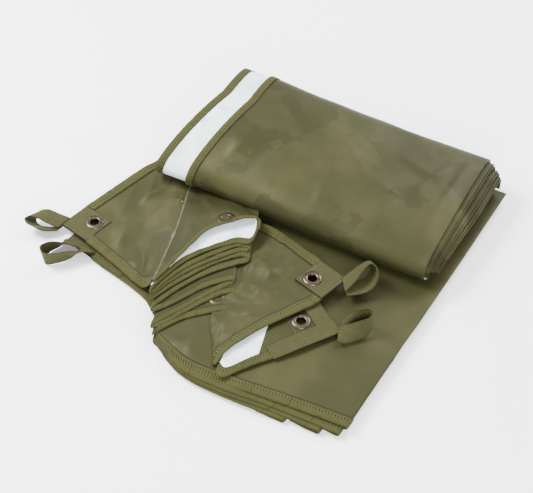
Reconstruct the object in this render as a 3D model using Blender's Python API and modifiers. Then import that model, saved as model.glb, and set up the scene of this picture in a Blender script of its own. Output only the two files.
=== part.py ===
"""A soft rescue stretcher sheet, folded for storage.

A bound, lined cloth is folded in two with its white lining inside, pleated
like an accordion and then folded over from its far end into a flat pack.
Its four corners, each with an eyelet, a webbing patch or straps and a webbing
loop, lie in front of the pack. Lengths are in millimetres (MM turns them into
metres): X along the pack, Y away from the viewer, Z up.
"""

from math import cos, pi, sin

import bmesh
import bpy
from mathutils import Matrix, Vector

MM = 0.001
OBJECT_NAME = "folded_rescue_sheet"

# Bought-in sizes that drive the rest.
WEBBING_WIDTH = 25.0
WEBBING_THICKNESS = 1.4
PATCH_SIDE = 50.0
BINDING_WIDTH = 15.0
BINDING_THICKNESS = 2.0
CLOTH_THICKNESS = 1.6
LINING_THICKNESS = 1.0
GAP = 0.4                     # left between pieces that touch
SEAM_GAP = 1.0                # left between a cloth and the tape on its curved edge
CORNER_GAP = 2.0              # left around the square in a corner
HINGE_GAP = 2.0               # cloth stops this far from a fold line that moves

EYELET_HOLE_RADIUS = 7.3
EYELET_TURNS = 20
CORNER_THICKNESS = 3.0

# Heights of the flat layers, measured at the middle of the cloth.
FLOOR_LEAF_HEIGHT = 1.0
LOWER_LEFT_HEIGHT = 3.6
UPPER_LEFT_HEIGHT = 11.6
BASE_TOP_HEIGHT = 13.3
LOWER_RIGHT_HEIGHT = 19.6
UPPER_RIGHT_HEIGHT = 27.6
BACK_EDGE = 246.0

# Corner tips with the two directions of their cloth edges.
UPPER_LEFT = {"tip": (-270.0, -108.0), "back": (0.225, 0.974), "front": (0.974, -0.225)}
LOWER_LEFT = {"tip": (-252.0, -124.5), "back": (0.225, 0.974), "front": (0.974, -0.225)}
UPPER_RIGHT = {"tip": (137.0, -27.0), "back": (-0.956, 0.293), "front": (-0.293, -0.956)}
LOWER_RIGHT = {"tip": (166.0, -108.0), "back": (-0.820, 0.572), "front": (-0.572, -0.820)}
EYELET_INSET = 33.0
LOWER_RIGHT_INSET = 37.5

MATERIALS = {
    "cloth": ((0.160, 0.145, 0.075, 1.0), 0.45, 0.0),
    "lining": ((0.740, 0.800, 0.830, 1.0), 0.60, 0.0),
    "binding": ((0.200, 0.190, 0.060, 1.0), 0.75, 0.0),
    "webbing": ((0.140, 0.125, 0.055, 1.0), 0.80, 0.0),
    "eyelet": ((0.260, 0.180, 0.120, 1.0), 0.35, 1.0),
}


# ---------------------------------------------------------------- tools

def clear_scene():
    for item in list(bpy.data.objects):
        bpy.data.objects.remove(item, do_unlink=True)


def new_collection(name):
    group = bpy.data.collections.new(name)
    bpy.context.scene.collection.children.link(group)
    return group


def new_material(name, colour, roughness, metallic):
    material = bpy.data.materials.new(name)
    material.use_nodes = True
    shader = material.node_tree.nodes["Principled BSDF"]
    shader.inputs["Base Color"].default_value = colour
    shader.inputs["Roughness"].default_value = roughness
    shader.inputs["Metallic"].default_value = metallic
    return material


def add_object(name, data, kind):
    item = bpy.data.objects.new(name, data)
    colour, roughness, metallic = MATERIALS[kind]
    data.materials.append(new_material(f"{kind}_{name}", colour, roughness, metallic))
    PARTS.objects.link(item)
    return item


def mix(a, b, t):
    return Vector(a).lerp(Vector(b), t)


class Path:
    """A smooth curve through points, read at t from 0 to 1 along its length."""

    def __init__(self, *points, stops=None):
        self.points = [Vector(point) for point in points]
        steps = [(b - a).length for a, b in zip(self.points, self.points[1:])]
        self.stops = stops or [sum(steps[:i]) for i in range(len(self.points))]
        self.length = self.stops[-1]

    def at(self, t):
        along = min(max(t, 0.0), 1.0) * self.length
        last = len(self.points) - 2
        i = max(k for k in range(last + 1) if self.stops[k] <= along + 1e-9 or k == 0)
        start, end = self.points[i], self.points[i + 1]
        before = self.points[i - 1] if i > 0 else 2 * start - end
        after = self.points[i + 2] if i < last else 2 * end - start
        s = (along - self.stops[i]) / (self.stops[i + 1] - self.stops[i])
        return 0.5 * ((2 * start) + (end - before) * s
                      + (2 * before - 5 * start + 4 * end - after) * s * s
                      + (3 * start - before - 3 * end + after) * s ** 3)

    def left(self, t):
        """The level direction to the left of travel."""
        step = self.at(min(t + 0.01, 1.0)) - self.at(max(t - 0.01, 0.0))
        return Vector((-step.y, step.x, 0.0)).normalized()

    def inset(self, t, distance):
        return self.at(t) + self.left(t) * distance

    def nearest(self, point):
        """The point of a straight path that is closest to another point."""
        start, end = self.points[0], self.points[-1]
        along = end - start
        t = (point - start).dot(along) / along.length_squared
        return start + along * min(max(t, 0.0), 1.0)


def between(first, second, start=0.0, end=1.0):
    """The ruled surface between two curves, each a function of v."""
    def surface(u, v):
        return mix(first(v), second(v), start + (end - start) * u)
    return surface


def coons(front, back, left, right):
    """The surface spanned by four curves: u runs left to right, v front to back."""
    def surface(u, v):
        rails = mix(front.at(u), back.at(u), v)
        sides = mix(left.at(v), right.at(v), u)
        ends = mix(mix(front.at(0), front.at(1), u), mix(back.at(0), back.at(1), u), v)
        return rails + sides - ends
    return surface


def sheet(name, surface, columns, rows, thickness, kind):
    """A grid laid on surface(u, v) and given its thickness."""
    mesh = bpy.data.meshes.new(name)
    grid = bmesh.new()
    bmesh.ops.create_grid(grid, x_segments=columns, y_segments=rows, size=0.5)
    for vertex in grid.verts:
        vertex.co = surface(vertex.co.x + 0.5, vertex.co.y + 0.5) * MM
    grid.to_mesh(mesh)
    grid.free()
    item = add_object(name, mesh, kind)
    solid = item.modifiers.new("thickness", "SOLIDIFY")
    solid.thickness = thickness * MM
    solid.offset = 0.0
    return item


def block(name, place, cuts, kind):
    """A cube cut into a grid and moved to place(x, y, z), each from 0 to 1."""
    mesh = bpy.data.meshes.new(name)
    cube = bmesh.new()
    bmesh.ops.create_cube(cube, size=1.0)
    bmesh.ops.subdivide_edges(cube, edges=cube.edges[:], cuts=cuts, use_grid_fill=True)
    for vertex in cube.verts:
        vertex.co = place(*(value + 0.5 for value in vertex.co)) * MM
    cube.to_mesh(mesh)
    cube.free()
    return add_object(name, mesh, kind)


def strip(name, path, near, far, rows, thickness, kind, start=0.0, end=1.0):
    """A band that follows a path, from near to far to its left."""
    def surface(u, v):
        t = start + (end - start) * v
        return path.inset(t, near + (far - near) * u)
    return sheet(name, surface, 2, rows, thickness, kind)


def first_clear(edge, inset, fold, outward):
    """How far along an edge its inset line has crossed a fold line outward."""
    for step in range(100):
        t = step / 100
        point = edge.inset(t, inset)
        if (point - fold.nearest(point)).dot(outward) > HINGE_GAP / 2:
            return t
    raise ValueError("the edge never leaves the fold line")


def ribbon(name, centre, widths, rows, thickness, kind):
    """A tape that follows a centre path while its width turns."""
    across = Path(*widths, stops=centre.stops)

    def surface(u, v):
        side = across.at(v).normalized()
        return centre.at(v) + side * (u - 0.5) * WEBBING_WIDTH
    return sheet(name, surface, 2, rows, thickness, kind)


def corner_frame(corner, height):
    """Place and turn for a piece whose own X and Y follow a corner's cloth edges."""
    back = Vector((*corner["back"], 0.0))
    front = Vector((*corner["front"], 0.0))
    up = back.cross(front)
    if up.z < 0:
        back, front, up = front, back, -up
    turn = Matrix((back, front, up)).transposed().to_4x4()
    tip = Vector((*corner["tip"], height)) * MM
    return Matrix.Translation(tip) @ turn


def corner_point(corner, back, front, height):
    tip = Vector((*corner["tip"], height))
    along = Vector((*corner["back"], 0.0)) * back
    return tip + along + Vector((*corner["front"], 0.0)) * front


def add_loop(curve, points):
    loop = curve.splines.new("POLY")
    loop.points.add(len(points) - 1)
    for target, (x, y) in zip(loop.points, points):
        target.co = (x * MM, y * MM, 0.0, 1.0)
    loop.use_cyclic_u = True


def corner_square(name, corner, side, inset, height, kind):
    """A square on a cloth corner with the eyelet's hole through it."""
    curve = bpy.data.curves.new(name, "CURVE")
    curve.dimensions = "2D"
    curve.fill_mode = "BOTH"
    curve.extrude = CORNER_THICKNESS / 2 * MM
    curve.resolution_u = 1
    curve.render_resolution_u = 0
    add_loop(curve, [(0, 0), (side, 0), (side, side), (0, side)])
    turns = [2 * pi * i / EYELET_TURNS for i in range(EYELET_TURNS)]
    add_loop(curve, [(inset + EYELET_HOLE_RADIUS * cos(a), inset + EYELET_HOLE_RADIUS * sin(a))
                     for a in turns])
    item = add_object(name, curve, kind)
    item.matrix_world = corner_frame(corner, height)
    return item


def turned(name, profile, matrix, kind):
    """A closed outline of (radius, height), down its outer side, turned about Z."""
    mesh = bpy.data.meshes.new(name)
    outline = bmesh.new()
    corners = [outline.verts.new((r * MM, 0.0, z * MM)) for r, z in profile]
    for a, b in zip(corners, corners[1:] + corners[:1]):
        outline.edges.new((a, b))
    outline.to_mesh(mesh)
    outline.free()
    item = add_object(name, mesh, kind)
    item.matrix_world = matrix
    screw = item.modifiers.new("turn", "SCREW")
    screw.steps = EYELET_TURNS
    screw.render_steps = EYELET_TURNS
    screw.use_merge_vertices = True
    screw.merge_threshold = 0.00001
    return item


GROMMET = [(6.3, 0.9), (7.4, 1.7), (9.6, 2.0), (12.2, 1.5), (13.2, 0.4),
           (7.0, 0.3), (6.9, -2.6), (6.2, -2.6)]
WASHER = [(6.5, -3.3), (13.0, -3.3), (12.6, -3.9), (9.6, -4.4), (6.5, -4.1)]
FLAT_RING = [(6.6, 1.2), (9.4, 1.5), (12.4, 1.1), (13.2, 0.3), (6.6, 0.3)]


def eyelet(place, corner, inset, height):
    """A grommet and the washer it is clinched to, on a corner square."""
    centre = corner_point(corner, inset, inset, height + CORNER_THICKNESS / 2) * MM
    matrix = Matrix.Translation(centre)
    turned(f"eyelet_{place}", GROMMET, matrix, "eyelet")
    turned(f"washer_{place}", WASHER, matrix, "eyelet")


def outward_from(fold, corner):
    tip = Vector((*corner["tip"], fold.at(0.5).z))
    away = tip - fold.nearest(tip)
    return away.normalized()


def cloth_flap(name, fold, back_edge, front_edge, corner, notch, height, kind,
               thickness=CLOTH_THICKNESS, inset=BINDING_WIDTH + SEAM_GAP):
    """Cloth between a fold line and two edges that meet at a notched corner.

    Both edges run from the fold line towards the corner. The rim stops short
    of the binding, and goes round the square that stands in the corner.
    """
    steps = 6
    outward = outward_from(fold, corner)
    side = 1 if back_edge.left(0.5).dot(front_edge.at(0) - back_edge.at(0)) > 0 else -1
    back_start = first_clear(back_edge, side * inset, fold, outward)
    front_start = first_clear(front_edge, -side * inset, fold, outward)
    back_run = 1.0 - notch / back_edge.length - back_start
    front_run = 1.0 - notch / front_edge.length - front_start
    rim = [back_edge.inset(back_start + back_run * i / steps, side * inset)
           for i in range(steps + 1)]
    rim.append(corner_point(corner, notch, notch, height))
    rim += [front_edge.inset(front_start + front_run * (1 - i / steps), -side * inset)
            for i in range(steps + 1)]
    last = len(rim) - 1
    start, end = fold.nearest(rim[0]), fold.nearest(rim[-1])

    def surface(u, v):
        return mix(mix(start, end, v), rim[round(v * last)], u)
    return sheet(name, surface, 6, last, thickness, kind)


def bind(name, edge, width, fold, corner, notch, kind="binding", start=0.0, end=1.0):
    """Tape along a cloth edge, from the fold line to the square in the corner."""
    first = first_clear(edge, width, fold, outward_from(fold, corner))
    last = 1.0 - notch / edge.length
    run = last - first
    strip(name, edge, 0, width, 9, BINDING_THICKNESS, kind,
          first + run * start, first + run * end)


# ---------------------------------------------------------------- the base

BASE_LEFT = [(-48, -227), (-75, -140), (-106, -20), (-128, 60),
             (-160, 100), (-205, 118), (-198, 180), (-190, BACK_EDGE)]
BASE_FRONT = [(-48, -227), (11, -250), (71, -249), (140, -244)]
FOLD_TURN = 0.2               # share of a folded leaf's rows that its bend takes


def base_outline(right_front, right_back, front_shift, height):
    """The four edges of one leaf of the base, at one height."""
    left = Path(*[(x, y, height) for x, y in BASE_LEFT])
    front = [(x, y + front_shift * i / 3, height) for i, (x, y) in enumerate(BASE_FRONT)]
    front = [point for point in front if point[0] < right_front[0] - 20]
    front = Path(*front, (*right_front, height))
    back = Path((*BASE_LEFT[-1], height), (30, BACK_EDGE + 2, height), (*right_back, height))
    right = Path((*right_front, height), mix((*right_front, height), (*right_back, height), 0.5),
                 (*right_back, height))
    return coons(front, back, left, right)


def folded_leaf(name, right_front, right_back, front_shift, low, high):
    """Two layers of the base with their fold along the right-hand edge."""
    top = base_outline(right_front, right_back, front_shift, high)
    bottom = base_outline(right_front, right_back, front_shift, low)
    radius = (high - low) / 2
    flat = (1 - FOLD_TURN) / 2

    def surface(u, v):
        if u <= flat:
            return top(u / flat, v)
        if u >= 1 - flat:
            return bottom((1 - u) / flat, v)
        angle = pi * (u - flat) / FOLD_TURN
        bend = Vector((radius * sin(angle), 0.0, radius * (cos(angle) - 1)))
        return top(1.0, v) + bend
    return sheet(name, surface, 10, 10, 1.2, "cloth")


def build_base():
    floor = base_outline((150, -256), (236, 238), -12, FLOOR_LEAF_HEIGHT)
    sheet("base_leaf_bottom", floor, 6, 10, 2 * FLOOR_LEAF_HEIGHT, "cloth")
    folded_leaf("base_pleat_1", (160, -261), (240, 240), -14, 3.0, 4.8)
    folded_leaf("base_pleat_2", (206, -256), (248, 242), -10, 6.4, 8.2)
    folded_leaf("base_pleat_3", (230, -249), (256, 243), -6, 9.8, 11.2)
    top = base_outline((236, -238), (260, 244), 0, BASE_TOP_HEIGHT)

    inner = BINDING_WIDTH / 480
    seam = SEAM_GAP / 480

    def leaf(u, v):
        return top(u, inner + (1 - inner) * v)

    def bound_edge(u, v):
        return top(u, (inner - seam) * v)
    sheet("base_leaf_top", leaf, 10, 10, 2.0, "cloth")
    sheet("binding_base_front", bound_edge, 10, 2, BINDING_THICKNESS, "binding")


# ---------------------------------------------------------------- left corners

LEFT_FOLD_BACK = (-228.0, 50.0)
LEFT_FOLD_FRONT = (-105.0, -163.0)
CREASE = Path((-150, 76, 12.2), (-147, 44, 15.8), (-116, -45, 28), (-93, -132, 35.5),
              (-89, -156, 32))


def left_fold(height, shift):
    """The moving fold line of the left corners, shifted to its left."""
    back = Vector((*LEFT_FOLD_BACK, height))
    front = Vector((*LEFT_FOLD_FRONT, height))
    along = (front - back).normalized()
    across = Vector((-along.y, along.x, 0.0))
    return Path(back + across * shift, (back + front) / 2 + across * shift,
                front + across * shift)


def build_left_upper():
    height = UPPER_LEFT_HEIGHT
    notch = PATCH_SIDE + CORNER_GAP
    tip = corner_point(UPPER_LEFT, 0, 0, height)
    patch_back = corner_point(UPPER_LEFT, notch, 0, height)
    patch_front = corner_point(UPPER_LEFT, 0, notch, height)
    fold = left_fold(height, -HINGE_GAP)
    back_edge = Path(fold.at(0), (-240, 12, height), patch_back, tip)
    front_edge = Path(fold.at(1), (-162, -141, height), patch_front, tip)
    cloth_flap("flap_left_upper", fold, back_edge, front_edge, UPPER_LEFT, notch, height, "cloth")
    corner_square("patch_left_upper", UPPER_LEFT, PATCH_SIDE, EYELET_INSET, height, "webbing")
    eyelet("left_upper", UPPER_LEFT, EYELET_INSET, height)
    bind("binding_left_upper_back", back_edge, BINDING_WIDTH, fold, UPPER_LEFT, notch)
    bind("binding_left_upper_front", front_edge, -BINDING_WIDTH, fold, UPPER_LEFT, notch)
    root_edge = left_fold(height, HINGE_GAP)
    left = Path((-218, 76, 11.6), (-222, 62, 11.6), root_edge.at(0), root_edge.at(0.1),
                root_edge.at(0.5), root_edge.at(1))
    sheet("panel_left_upper", between(left.at, CREASE.at), 5, 12, CLOTH_THICKNESS, "cloth")


def build_left_lower():
    height = LOWER_LEFT_HEIGHT
    notch = PATCH_SIDE + CORNER_GAP
    tip = corner_point(LOWER_LEFT, 0, 0, height)
    patch_back = corner_point(LOWER_LEFT, notch, 0, height)
    patch_front = corner_point(LOWER_LEFT, 0, notch, height)
    fold = left_fold(height, -HINGE_GAP)
    far = fold.at(1) + (fold.at(1) - fold.at(0)).normalized() * 9
    fold = Path(fold.at(0), fold.at(0.5), far)
    back_edge = Path(fold.at(0), (-234, 12, height), patch_back, tip)
    front_edge = Path(far, (-150, -150, height), patch_front, tip)
    cloth_flap("flap_left_lower", fold, back_edge, front_edge, LOWER_LEFT, notch, height,
               "lining", inset=WEBBING_WIDTH + SEAM_GAP)
    corner_square("corner_left_lower", LOWER_LEFT, PATCH_SIDE, EYELET_INSET, height, "webbing")
    eyelet("left_lower", LOWER_LEFT, EYELET_INSET, height)
    bind("strap_left_lower", front_edge, -WEBBING_WIDTH, fold, LOWER_LEFT, notch, "webbing", 0.21)
    bind("binding_left_lower", front_edge, -WEBBING_WIDTH, fold, LOWER_LEFT, notch,
         end=0.20)
    root_edge = left_fold(height, HINGE_GAP)
    left = Path((-216, 76, height), (-222, 62, height), root_edge.at(0), root_edge.at(0.1),
                root_edge.at(0.5), root_edge.at(1), (-98, -171, height))
    right = Path((-150, 80, height), (-134, 44, height), (-112, -20, height),
                 (-82, -140, height), (-56, -218, height))
    sheet("panel_left_lower", between(left.at, right.at), 5, 10, CLOTH_THICKNESS, "cloth")


# ---------------------------------------------------------------- right corners

RIGHT_FOLD_BACK = (8.0, 8.0)
RIGHT_FOLD_FRONT = (48.0, -222.0)


def right_fold(start, end, height, shift):
    """Part of the moving fold line of the right corners, shifted to its left."""
    back = Vector((*RIGHT_FOLD_BACK, height))
    front = Vector((*RIGHT_FOLD_FRONT, height))
    along = (front - back).normalized()
    across = Vector((-along.y, along.x, 0.0))
    near, far = mix(back, front, start), mix(back, front, end)
    return Path(near + across * shift, (near + far) / 2 + across * shift, far + across * shift)


def build_right_upper():
    height = UPPER_RIGHT_HEIGHT
    fold_height = 21.4
    notch = PATCH_SIDE + CORNER_GAP
    tip = corner_point(UPPER_RIGHT, 0, 0, height)
    patch_back = corner_point(UPPER_RIGHT, notch, 0, height)
    patch_front = corner_point(UPPER_RIGHT, 0, notch, height)
    fold = right_fold(0, 1, fold_height, HINGE_GAP)
    back_edge = Path(fold.at(0), (40, 0, 25.5), patch_back, tip)
    front_edge = Path(fold.at(1), (58, -190, 23.5), (77, -150, 25.5), (101, -112, 27),
                      patch_front, tip)
    cloth_flap("flap_right_upper", fold, back_edge, front_edge, UPPER_RIGHT, notch, height, "cloth")
    corner_square("patch_right_upper", UPPER_RIGHT, PATCH_SIDE, EYELET_INSET, height, "webbing")
    eyelet("right_upper", UPPER_RIGHT, EYELET_INSET, height)
    bind("binding_right_upper_back", back_edge, -BINDING_WIDTH, fold, UPPER_RIGHT, notch)
    bind("binding_right_upper_front", front_edge, BINDING_WIDTH, fold, UPPER_RIGHT, notch)
    left = Path((-36, 8, 15.6), (-22, -60, 15.4), (-2, -130, 15.4), (4, -166, 15.6),
                (36, -219, 16.2))
    right = right_fold(0, 0.98, 16.2, -HINGE_GAP)
    sheet("panel_right_upper", between(left.at, right.at), 4, 10, CLOTH_THICKNESS, "cloth")


def build_right_lower():
    height = LOWER_RIGHT_HEIGHT
    fold_height = 17.2
    side = 54.0
    notch = side + CORNER_GAP
    tip = corner_point(LOWER_RIGHT, 0, 0, height)
    corner_back = corner_point(LOWER_RIGHT, notch, 0, height)
    corner_front = corner_point(LOWER_RIGHT, 0, notch, height)
    fold = right_fold(0.10, 1.07, fold_height, HINGE_GAP + 1)
    back_edge = Path(fold.at(0), (72, -46, 18.6), corner_back, tip)
    front_edge = Path(fold.at(1), (66, -243, 17.2), (88, -213, 17.8), (110, -186, 18.6),
                      corner_front, tip)
    cloth_flap("flap_right_lower", fold, back_edge, front_edge, LOWER_RIGHT, notch, height,
               "lining", thickness=1.2, inset=BINDING_WIDTH + 3 * SEAM_GAP)
    corner_square("corner_right_lower", LOWER_RIGHT, side, LOWER_RIGHT_INSET, height, "cloth")
    eyelet("right_lower", LOWER_RIGHT, LOWER_RIGHT_INSET, height)
    bind("binding_right_lower_front", front_edge, BINDING_WIDTH, fold, LOWER_RIGHT, notch)
    bind("binding_right_lower_side", back_edge, -BINDING_WIDTH, fold, LOWER_RIGHT, notch)
    lift = Vector((0, 0, CORNER_THICKNESS / 2 + WEBBING_THICKNESS / 2 + GAP))
    front_rim = Path(*[point + lift for point in front_edge.points[2:]])
    side_rim = Path(*[point + lift for point in back_edge.points[1:]])
    strip("strap_right_lower_front", front_rim, 0, WEBBING_WIDTH - 2, 8,
          WEBBING_THICKNESS, "webbing", 0.22, 1.0)
    cross_end = 1 - (WEBBING_WIDTH + SEAM_GAP) / side_rim.length
    strip("strap_right_lower_side", side_rim, 0, 2 - WEBBING_WIDTH, 5,
          WEBBING_THICKNESS, "webbing", 0.12, cross_end)


# ---------------------------------------------------------------- pleats

LEAF_EDGES = {
    2: [(-84, -163, 30.5), (-52, -78, 31.5), (-9, -30, 31), (-24, 0, 29), (-90, -105, 26.5)],
    3: [(-76, -175, 26.5), (-45, -100, 27.5), (-1, -57, 27), (-12, -20, 25), (-84, -112, 22.8)],
    4: [(-68, -185, 22.6), (-38, -130, 23.2), (0, -92, 23), (-10, -54, 21.2), (-78, -120, 19.8)],
    5: [(-52, -219, 18.4), (-14, -165, 19), (26, -118, 19.4), (14, -78, 19.2), (-62, -152, 17.4)],
}
LEAF_BINDING = 12.0
TOP_EDGE = Path((-16, 5, 42), (-39, -13, 42), (-69, -52, 40.5), (-78, -92, 38.5), (-89, -148, 36))


def build_pleats():
    crease = Path((-145, 42, 17.6), (-115, -45, 29.6), (-93, -128, 37.2))
    bound = 1 - LEAF_BINDING / 70
    sheet("pleat_leaf_top", between(crease.at, TOP_EDGE.at, 0.02, bound - 0.03), 5, 9,
          CLOTH_THICKNESS, "cloth")
    sheet("binding_pleat_top", between(crease.at, TOP_EDGE.at, bound, 1.0), 2, 9,
          CLOTH_THICKNESS, "binding")
    share = LEAF_BINDING / 52
    for number, (front_left, middle, front_right, back_right, back_left) in LEAF_EDGES.items():
        front = Path(front_left, middle, front_right)
        back = Path(back_left, mix(back_left, back_right, 0.5), back_right)
        sheet(f"pleat_leaf_{number}", between(front.at, back.at, share + 0.03, 1.0), 3, 7,
              CLOTH_THICKNESS, "cloth")
        sheet(f"binding_pleat_{number}", between(front.at, back.at, 0.0, share), 2, 7,
              BINDING_THICKNESS, "binding")
    lean = Matrix.Translation(Vector((-44, -16, 45.4)) * MM) @ Matrix.Rotation(0.05, 4, "Y")
    turned("eyelet_middle_upper", FLAT_RING, lean @ Matrix.Rotation(-0.05, 4, "X"), "eyelet")
    low = Matrix.Translation(Vector((-22, -152, 14.5)) * MM)
    turned("eyelet_middle_lower", [(r, z * 0.8) for r, z in FLAT_RING], low, "eyelet")


# ---------------------------------------------------------------- pack

# The pack's outline across X, from its lower back edge over the top and round
# the front to the underside: at its left end and at its thinner right end.
PACK_LEFT = Path((0, 257, 22), (0, 258, 48), (0, 254, 72), (0, 240, 88), (0, 212, 93.5),
                 (0, 175, 93), (0, 134, 90), (0, 90, 82), (0, 56, 71), (0, 35, 60),
                 (0, 26, 46), (0, 29, 32), (0, 41, 20.5), (0, 62, 16.2), (0, 120, 16.2),
                 (0, 200, 16.2))
PACK_RIGHT = Path((0, 260, 20), (0, 262, 34), (0, 259, 50), (0, 250, 60), (0, 225, 65.5),
                  (0, 180, 66), (0, 134, 65), (0, 90, 63), (0, 52, 60), (0, 27, 53),
                  (0, 17, 42), (0, 18, 30), (0, 28, 19.5), (0, 48, 16.2), (0, 110, 16.2),
                  (0, 200, 16.2))
PACK_ENDS = (-205.0, 232.0)
PACK_CROWN = 3.0
PACK_ROWS = 30


def pack_point(x, v, inward):
    """A point on the pack's outline at x, moved in towards its middle."""
    t = (x - PACK_ENDS[0]) / (PACK_ENDS[1] - PACK_ENDS[0])
    t = min(max(t, 0.0), 1.05)
    ease = t * t * (3 - 2 * t) if t < 1 else 1.0
    point = mix(PACK_LEFT.at(v), PACK_RIGHT.at(v), ease)
    ahead = mix(PACK_LEFT.at(min(v + 0.01, 1)), PACK_RIGHT.at(min(v + 0.01, 1)), ease)
    behind = mix(PACK_LEFT.at(max(v - 0.01, 0)), PACK_RIGHT.at(max(v - 0.01, 0)), ease)
    along = ahead - behind
    normal = Vector((0.0, along.z, -along.y)).normalized()
    crown = PACK_CROWN * sin(pi * t) * min(max((point.z - 50) / 15, 0.0), 1.0)
    return Vector((x, point.y, point.z + crown)) - normal * inward


def pack_left_edge(v, back, front):
    """The X of a slanted left-hand cloth edge: back at the top, front below."""
    t = min(max((v - 0.28) / 0.42, 0.0), 1.0)
    return back + (front - back) * t


def pack_layer(name, left, right, inward, thickness, kind, columns, rows=PACK_ROWS):
    """A layer that goes round the pack, between two slanted or straight edges."""
    def surface(u, v):
        v = v * rows / PACK_ROWS
        start = pack_left_edge(v, *left)
        stop = pack_left_edge(v, *right)
        return pack_point(start + (stop - start) * u, v, inward)
    return sheet(name, surface, columns, rows, thickness, kind)


def core_point(along, across, up):
    """The folded leaves in the middle of the pack, as one soft wedge."""
    left_top = 57 + 14 * min(across / 0.42, 1.0)
    top = left_top + (44 - left_top) * along
    return Vector((-150 + 384 * along, 60 + 178 * across, 30 + (top - 30) * up))


def build_pack():
    bound, outer = BINDING_WIDTH, (-120.0, -150.0)
    inner = (-164.0, -203.0)
    outer_inside = (outer[0] + bound, outer[1] + bound)
    inner_inside = (inner[0] + bound, inner[1] + bound)
    pack_layer("pack_wrap", (outer_inside[0] + GAP, outer_inside[1] + GAP), (226, 228), 0.9,
               CLOTH_THICKNESS, "cloth", 9)
    pack_layer("binding_pack_outer", outer, outer_inside, 0.9, CLOTH_THICKNESS + 0.2,
               "binding", 2)
    pack_layer("pack_lining", (inner_inside[0] + GAP, inner_inside[1] + GAP), (232, 234), 3.6,
               LINING_THICKNESS, "lining", 9)
    pack_layer("binding_pack_inner", inner, inner_inside, 3.6, CLOTH_THICKNESS, "binding", 2)
    pack_layer("pack_turn_2", (-155, -190), (246, 240), 7.0, 2.4, "cloth", 9, PACK_ROWS - 1)
    pack_layer("pack_turn_3", (-150, -180), (240, 234), 11.6, 2.4, "cloth", 9, PACK_ROWS - 2)

    core = block("pack_core", core_point, 4, "cloth")
    edge = core.modifiers.new("soft_edge", "BEVEL")
    edge.limit_method = "ANGLE"
    edge.width = 5.0 * MM
    edge.segments = 2


# ---------------------------------------------------------------- webbing loops

def build_loops():
    ribbon("loop_left_upper",
           Path((-275, -104, 14.6), (-285, -101, 21), (-299, -100, 25), (-312, -102, 21),
                (-316, -106, 14), (-311, -108, 6.5), (-297, -109, 4.4), (-284, -107, 6),
                (-276, -106, 9.6)),
           [(0.2, 0.97, 0), (0.2, 0.95, 0.1), (0.15, 0.9, 0.3), (0.1, 0.88, 0.4),
                (0.1, 0.88, 0.4), (0.1, 0.92, 0.3), (0.15, 0.97, 0.1), (0.2, 0.97, 0),
                (0.2, 0.97, 0)],
           18, WEBBING_THICKNESS, "webbing")
    ribbon("loop_left_lower",
           Path((-226, -134, 5.2), (-231, -144, 8), (-236, -158, 12), (-243, -171, 13.5),
                (-256, -176, 13.5), (-265, -166, 13.5), (-262, -152, 13), (-252, -142, 9),
                (-243, -134, 3.6)),
           [(0.97, -0.22, 0), (0.85, -0.3, 0.45), (0.3, -0.2, 0.93), (0.1, -0.15, 1),
                (0, -0.1, 1), (-0.1, -0.1, 1), (0.2, -0.15, 0.95), (0.7, -0.3, 0.6),
                (0.95, -0.25, 0)],
           18, WEBBING_THICKNESS, "webbing")
    ribbon("loop_right_upper",
           Path((145, -35, 30.4), (150, -24, 37), (157, -11, 43), (164, 0, 44), (169, 4, 38),
                (169, -2, 31), (163, -14, 26), (154, -27, 25), (147, -36, 26.4)),
           [(0.6, -0.8, 0), (0.7, -0.7, 0), (0.8, -0.55, 0.1), (0.85, -0.5, 0.1),
                (0.85, -0.5, 0.1), (0.85, -0.5, 0.1), (0.8, -0.6, 0), (0.7, -0.7, 0),
                (0.6, -0.8, 0)],
           18, WEBBING_THICKNESS, "webbing")
    ribbon("loop_right_lower",
           Path((170, -106, 23.4), (178, -96, 27), (186, -84, 31), (194, -76, 32),
                (202, -80, 31), (203, -92, 30), (195, -104, 29), (184, -112, 26.5),
                (174, -114, 19.6)),
           [(0.35, -0.93, 0), (0.3, -0.75, 0.5), (0.1, -0.3, 0.9), (0, -0.1, 1),
                (0.1, 0, 1), (0.3, 0, 0.95), (0.35, -0.2, 0.9), (0.4, -0.6, 0.6),
                (0.35, -0.93, 0)],
           18, WEBBING_THICKNESS, "webbing")


# ---------------------------------------------------------------- assembly

def stand_on_origin():
    """Move every part so that the origin is under the middle of the whole."""
    bpy.context.view_layer.update()
    graph = bpy.context.evaluated_depsgraph_get()
    corners = []
    for item in PARTS.objects:
        solid = item.evaluated_get(graph)
        mesh = solid.to_mesh()
        corners += [item.matrix_world @ vertex.co for vertex in mesh.vertices]
        solid.to_mesh_clear()
    low = Vector([min(corner[i] for corner in corners) for i in range(3)])
    high = Vector([max(corner[i] for corner in corners) for i in range(3)])
    shift = Vector(((low.x + high.x) / 2, (low.y + high.y) / 2, low.z))
    for item in PARTS.objects:
        item.location -= shift
    print("shift_mm", [round(value / MM, 3) for value in shift])
    print("size_mm", [round(value / MM, 2) for value in high - low])


clear_scene()
PARTS = new_collection(OBJECT_NAME)
build_base()
build_left_lower()
build_left_upper()
build_right_lower()
build_right_upper()
build_pleats()
build_pack()
build_loops()
stand_on_origin()
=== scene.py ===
"""Looks of a folded rescue carrying sheet: coated cloth, pale lining, bound edges,
webbing loops and eyelets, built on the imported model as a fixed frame.

Positions are in the part's drawing, in millimetres. DRAWING says where the
drawing's origin is in the frame.
"""
from math import atan2, cos, exp, hypot, pi, radians, sin

import bmesh
import bpy
from mathutils import Matrix, Vector, noise

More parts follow.
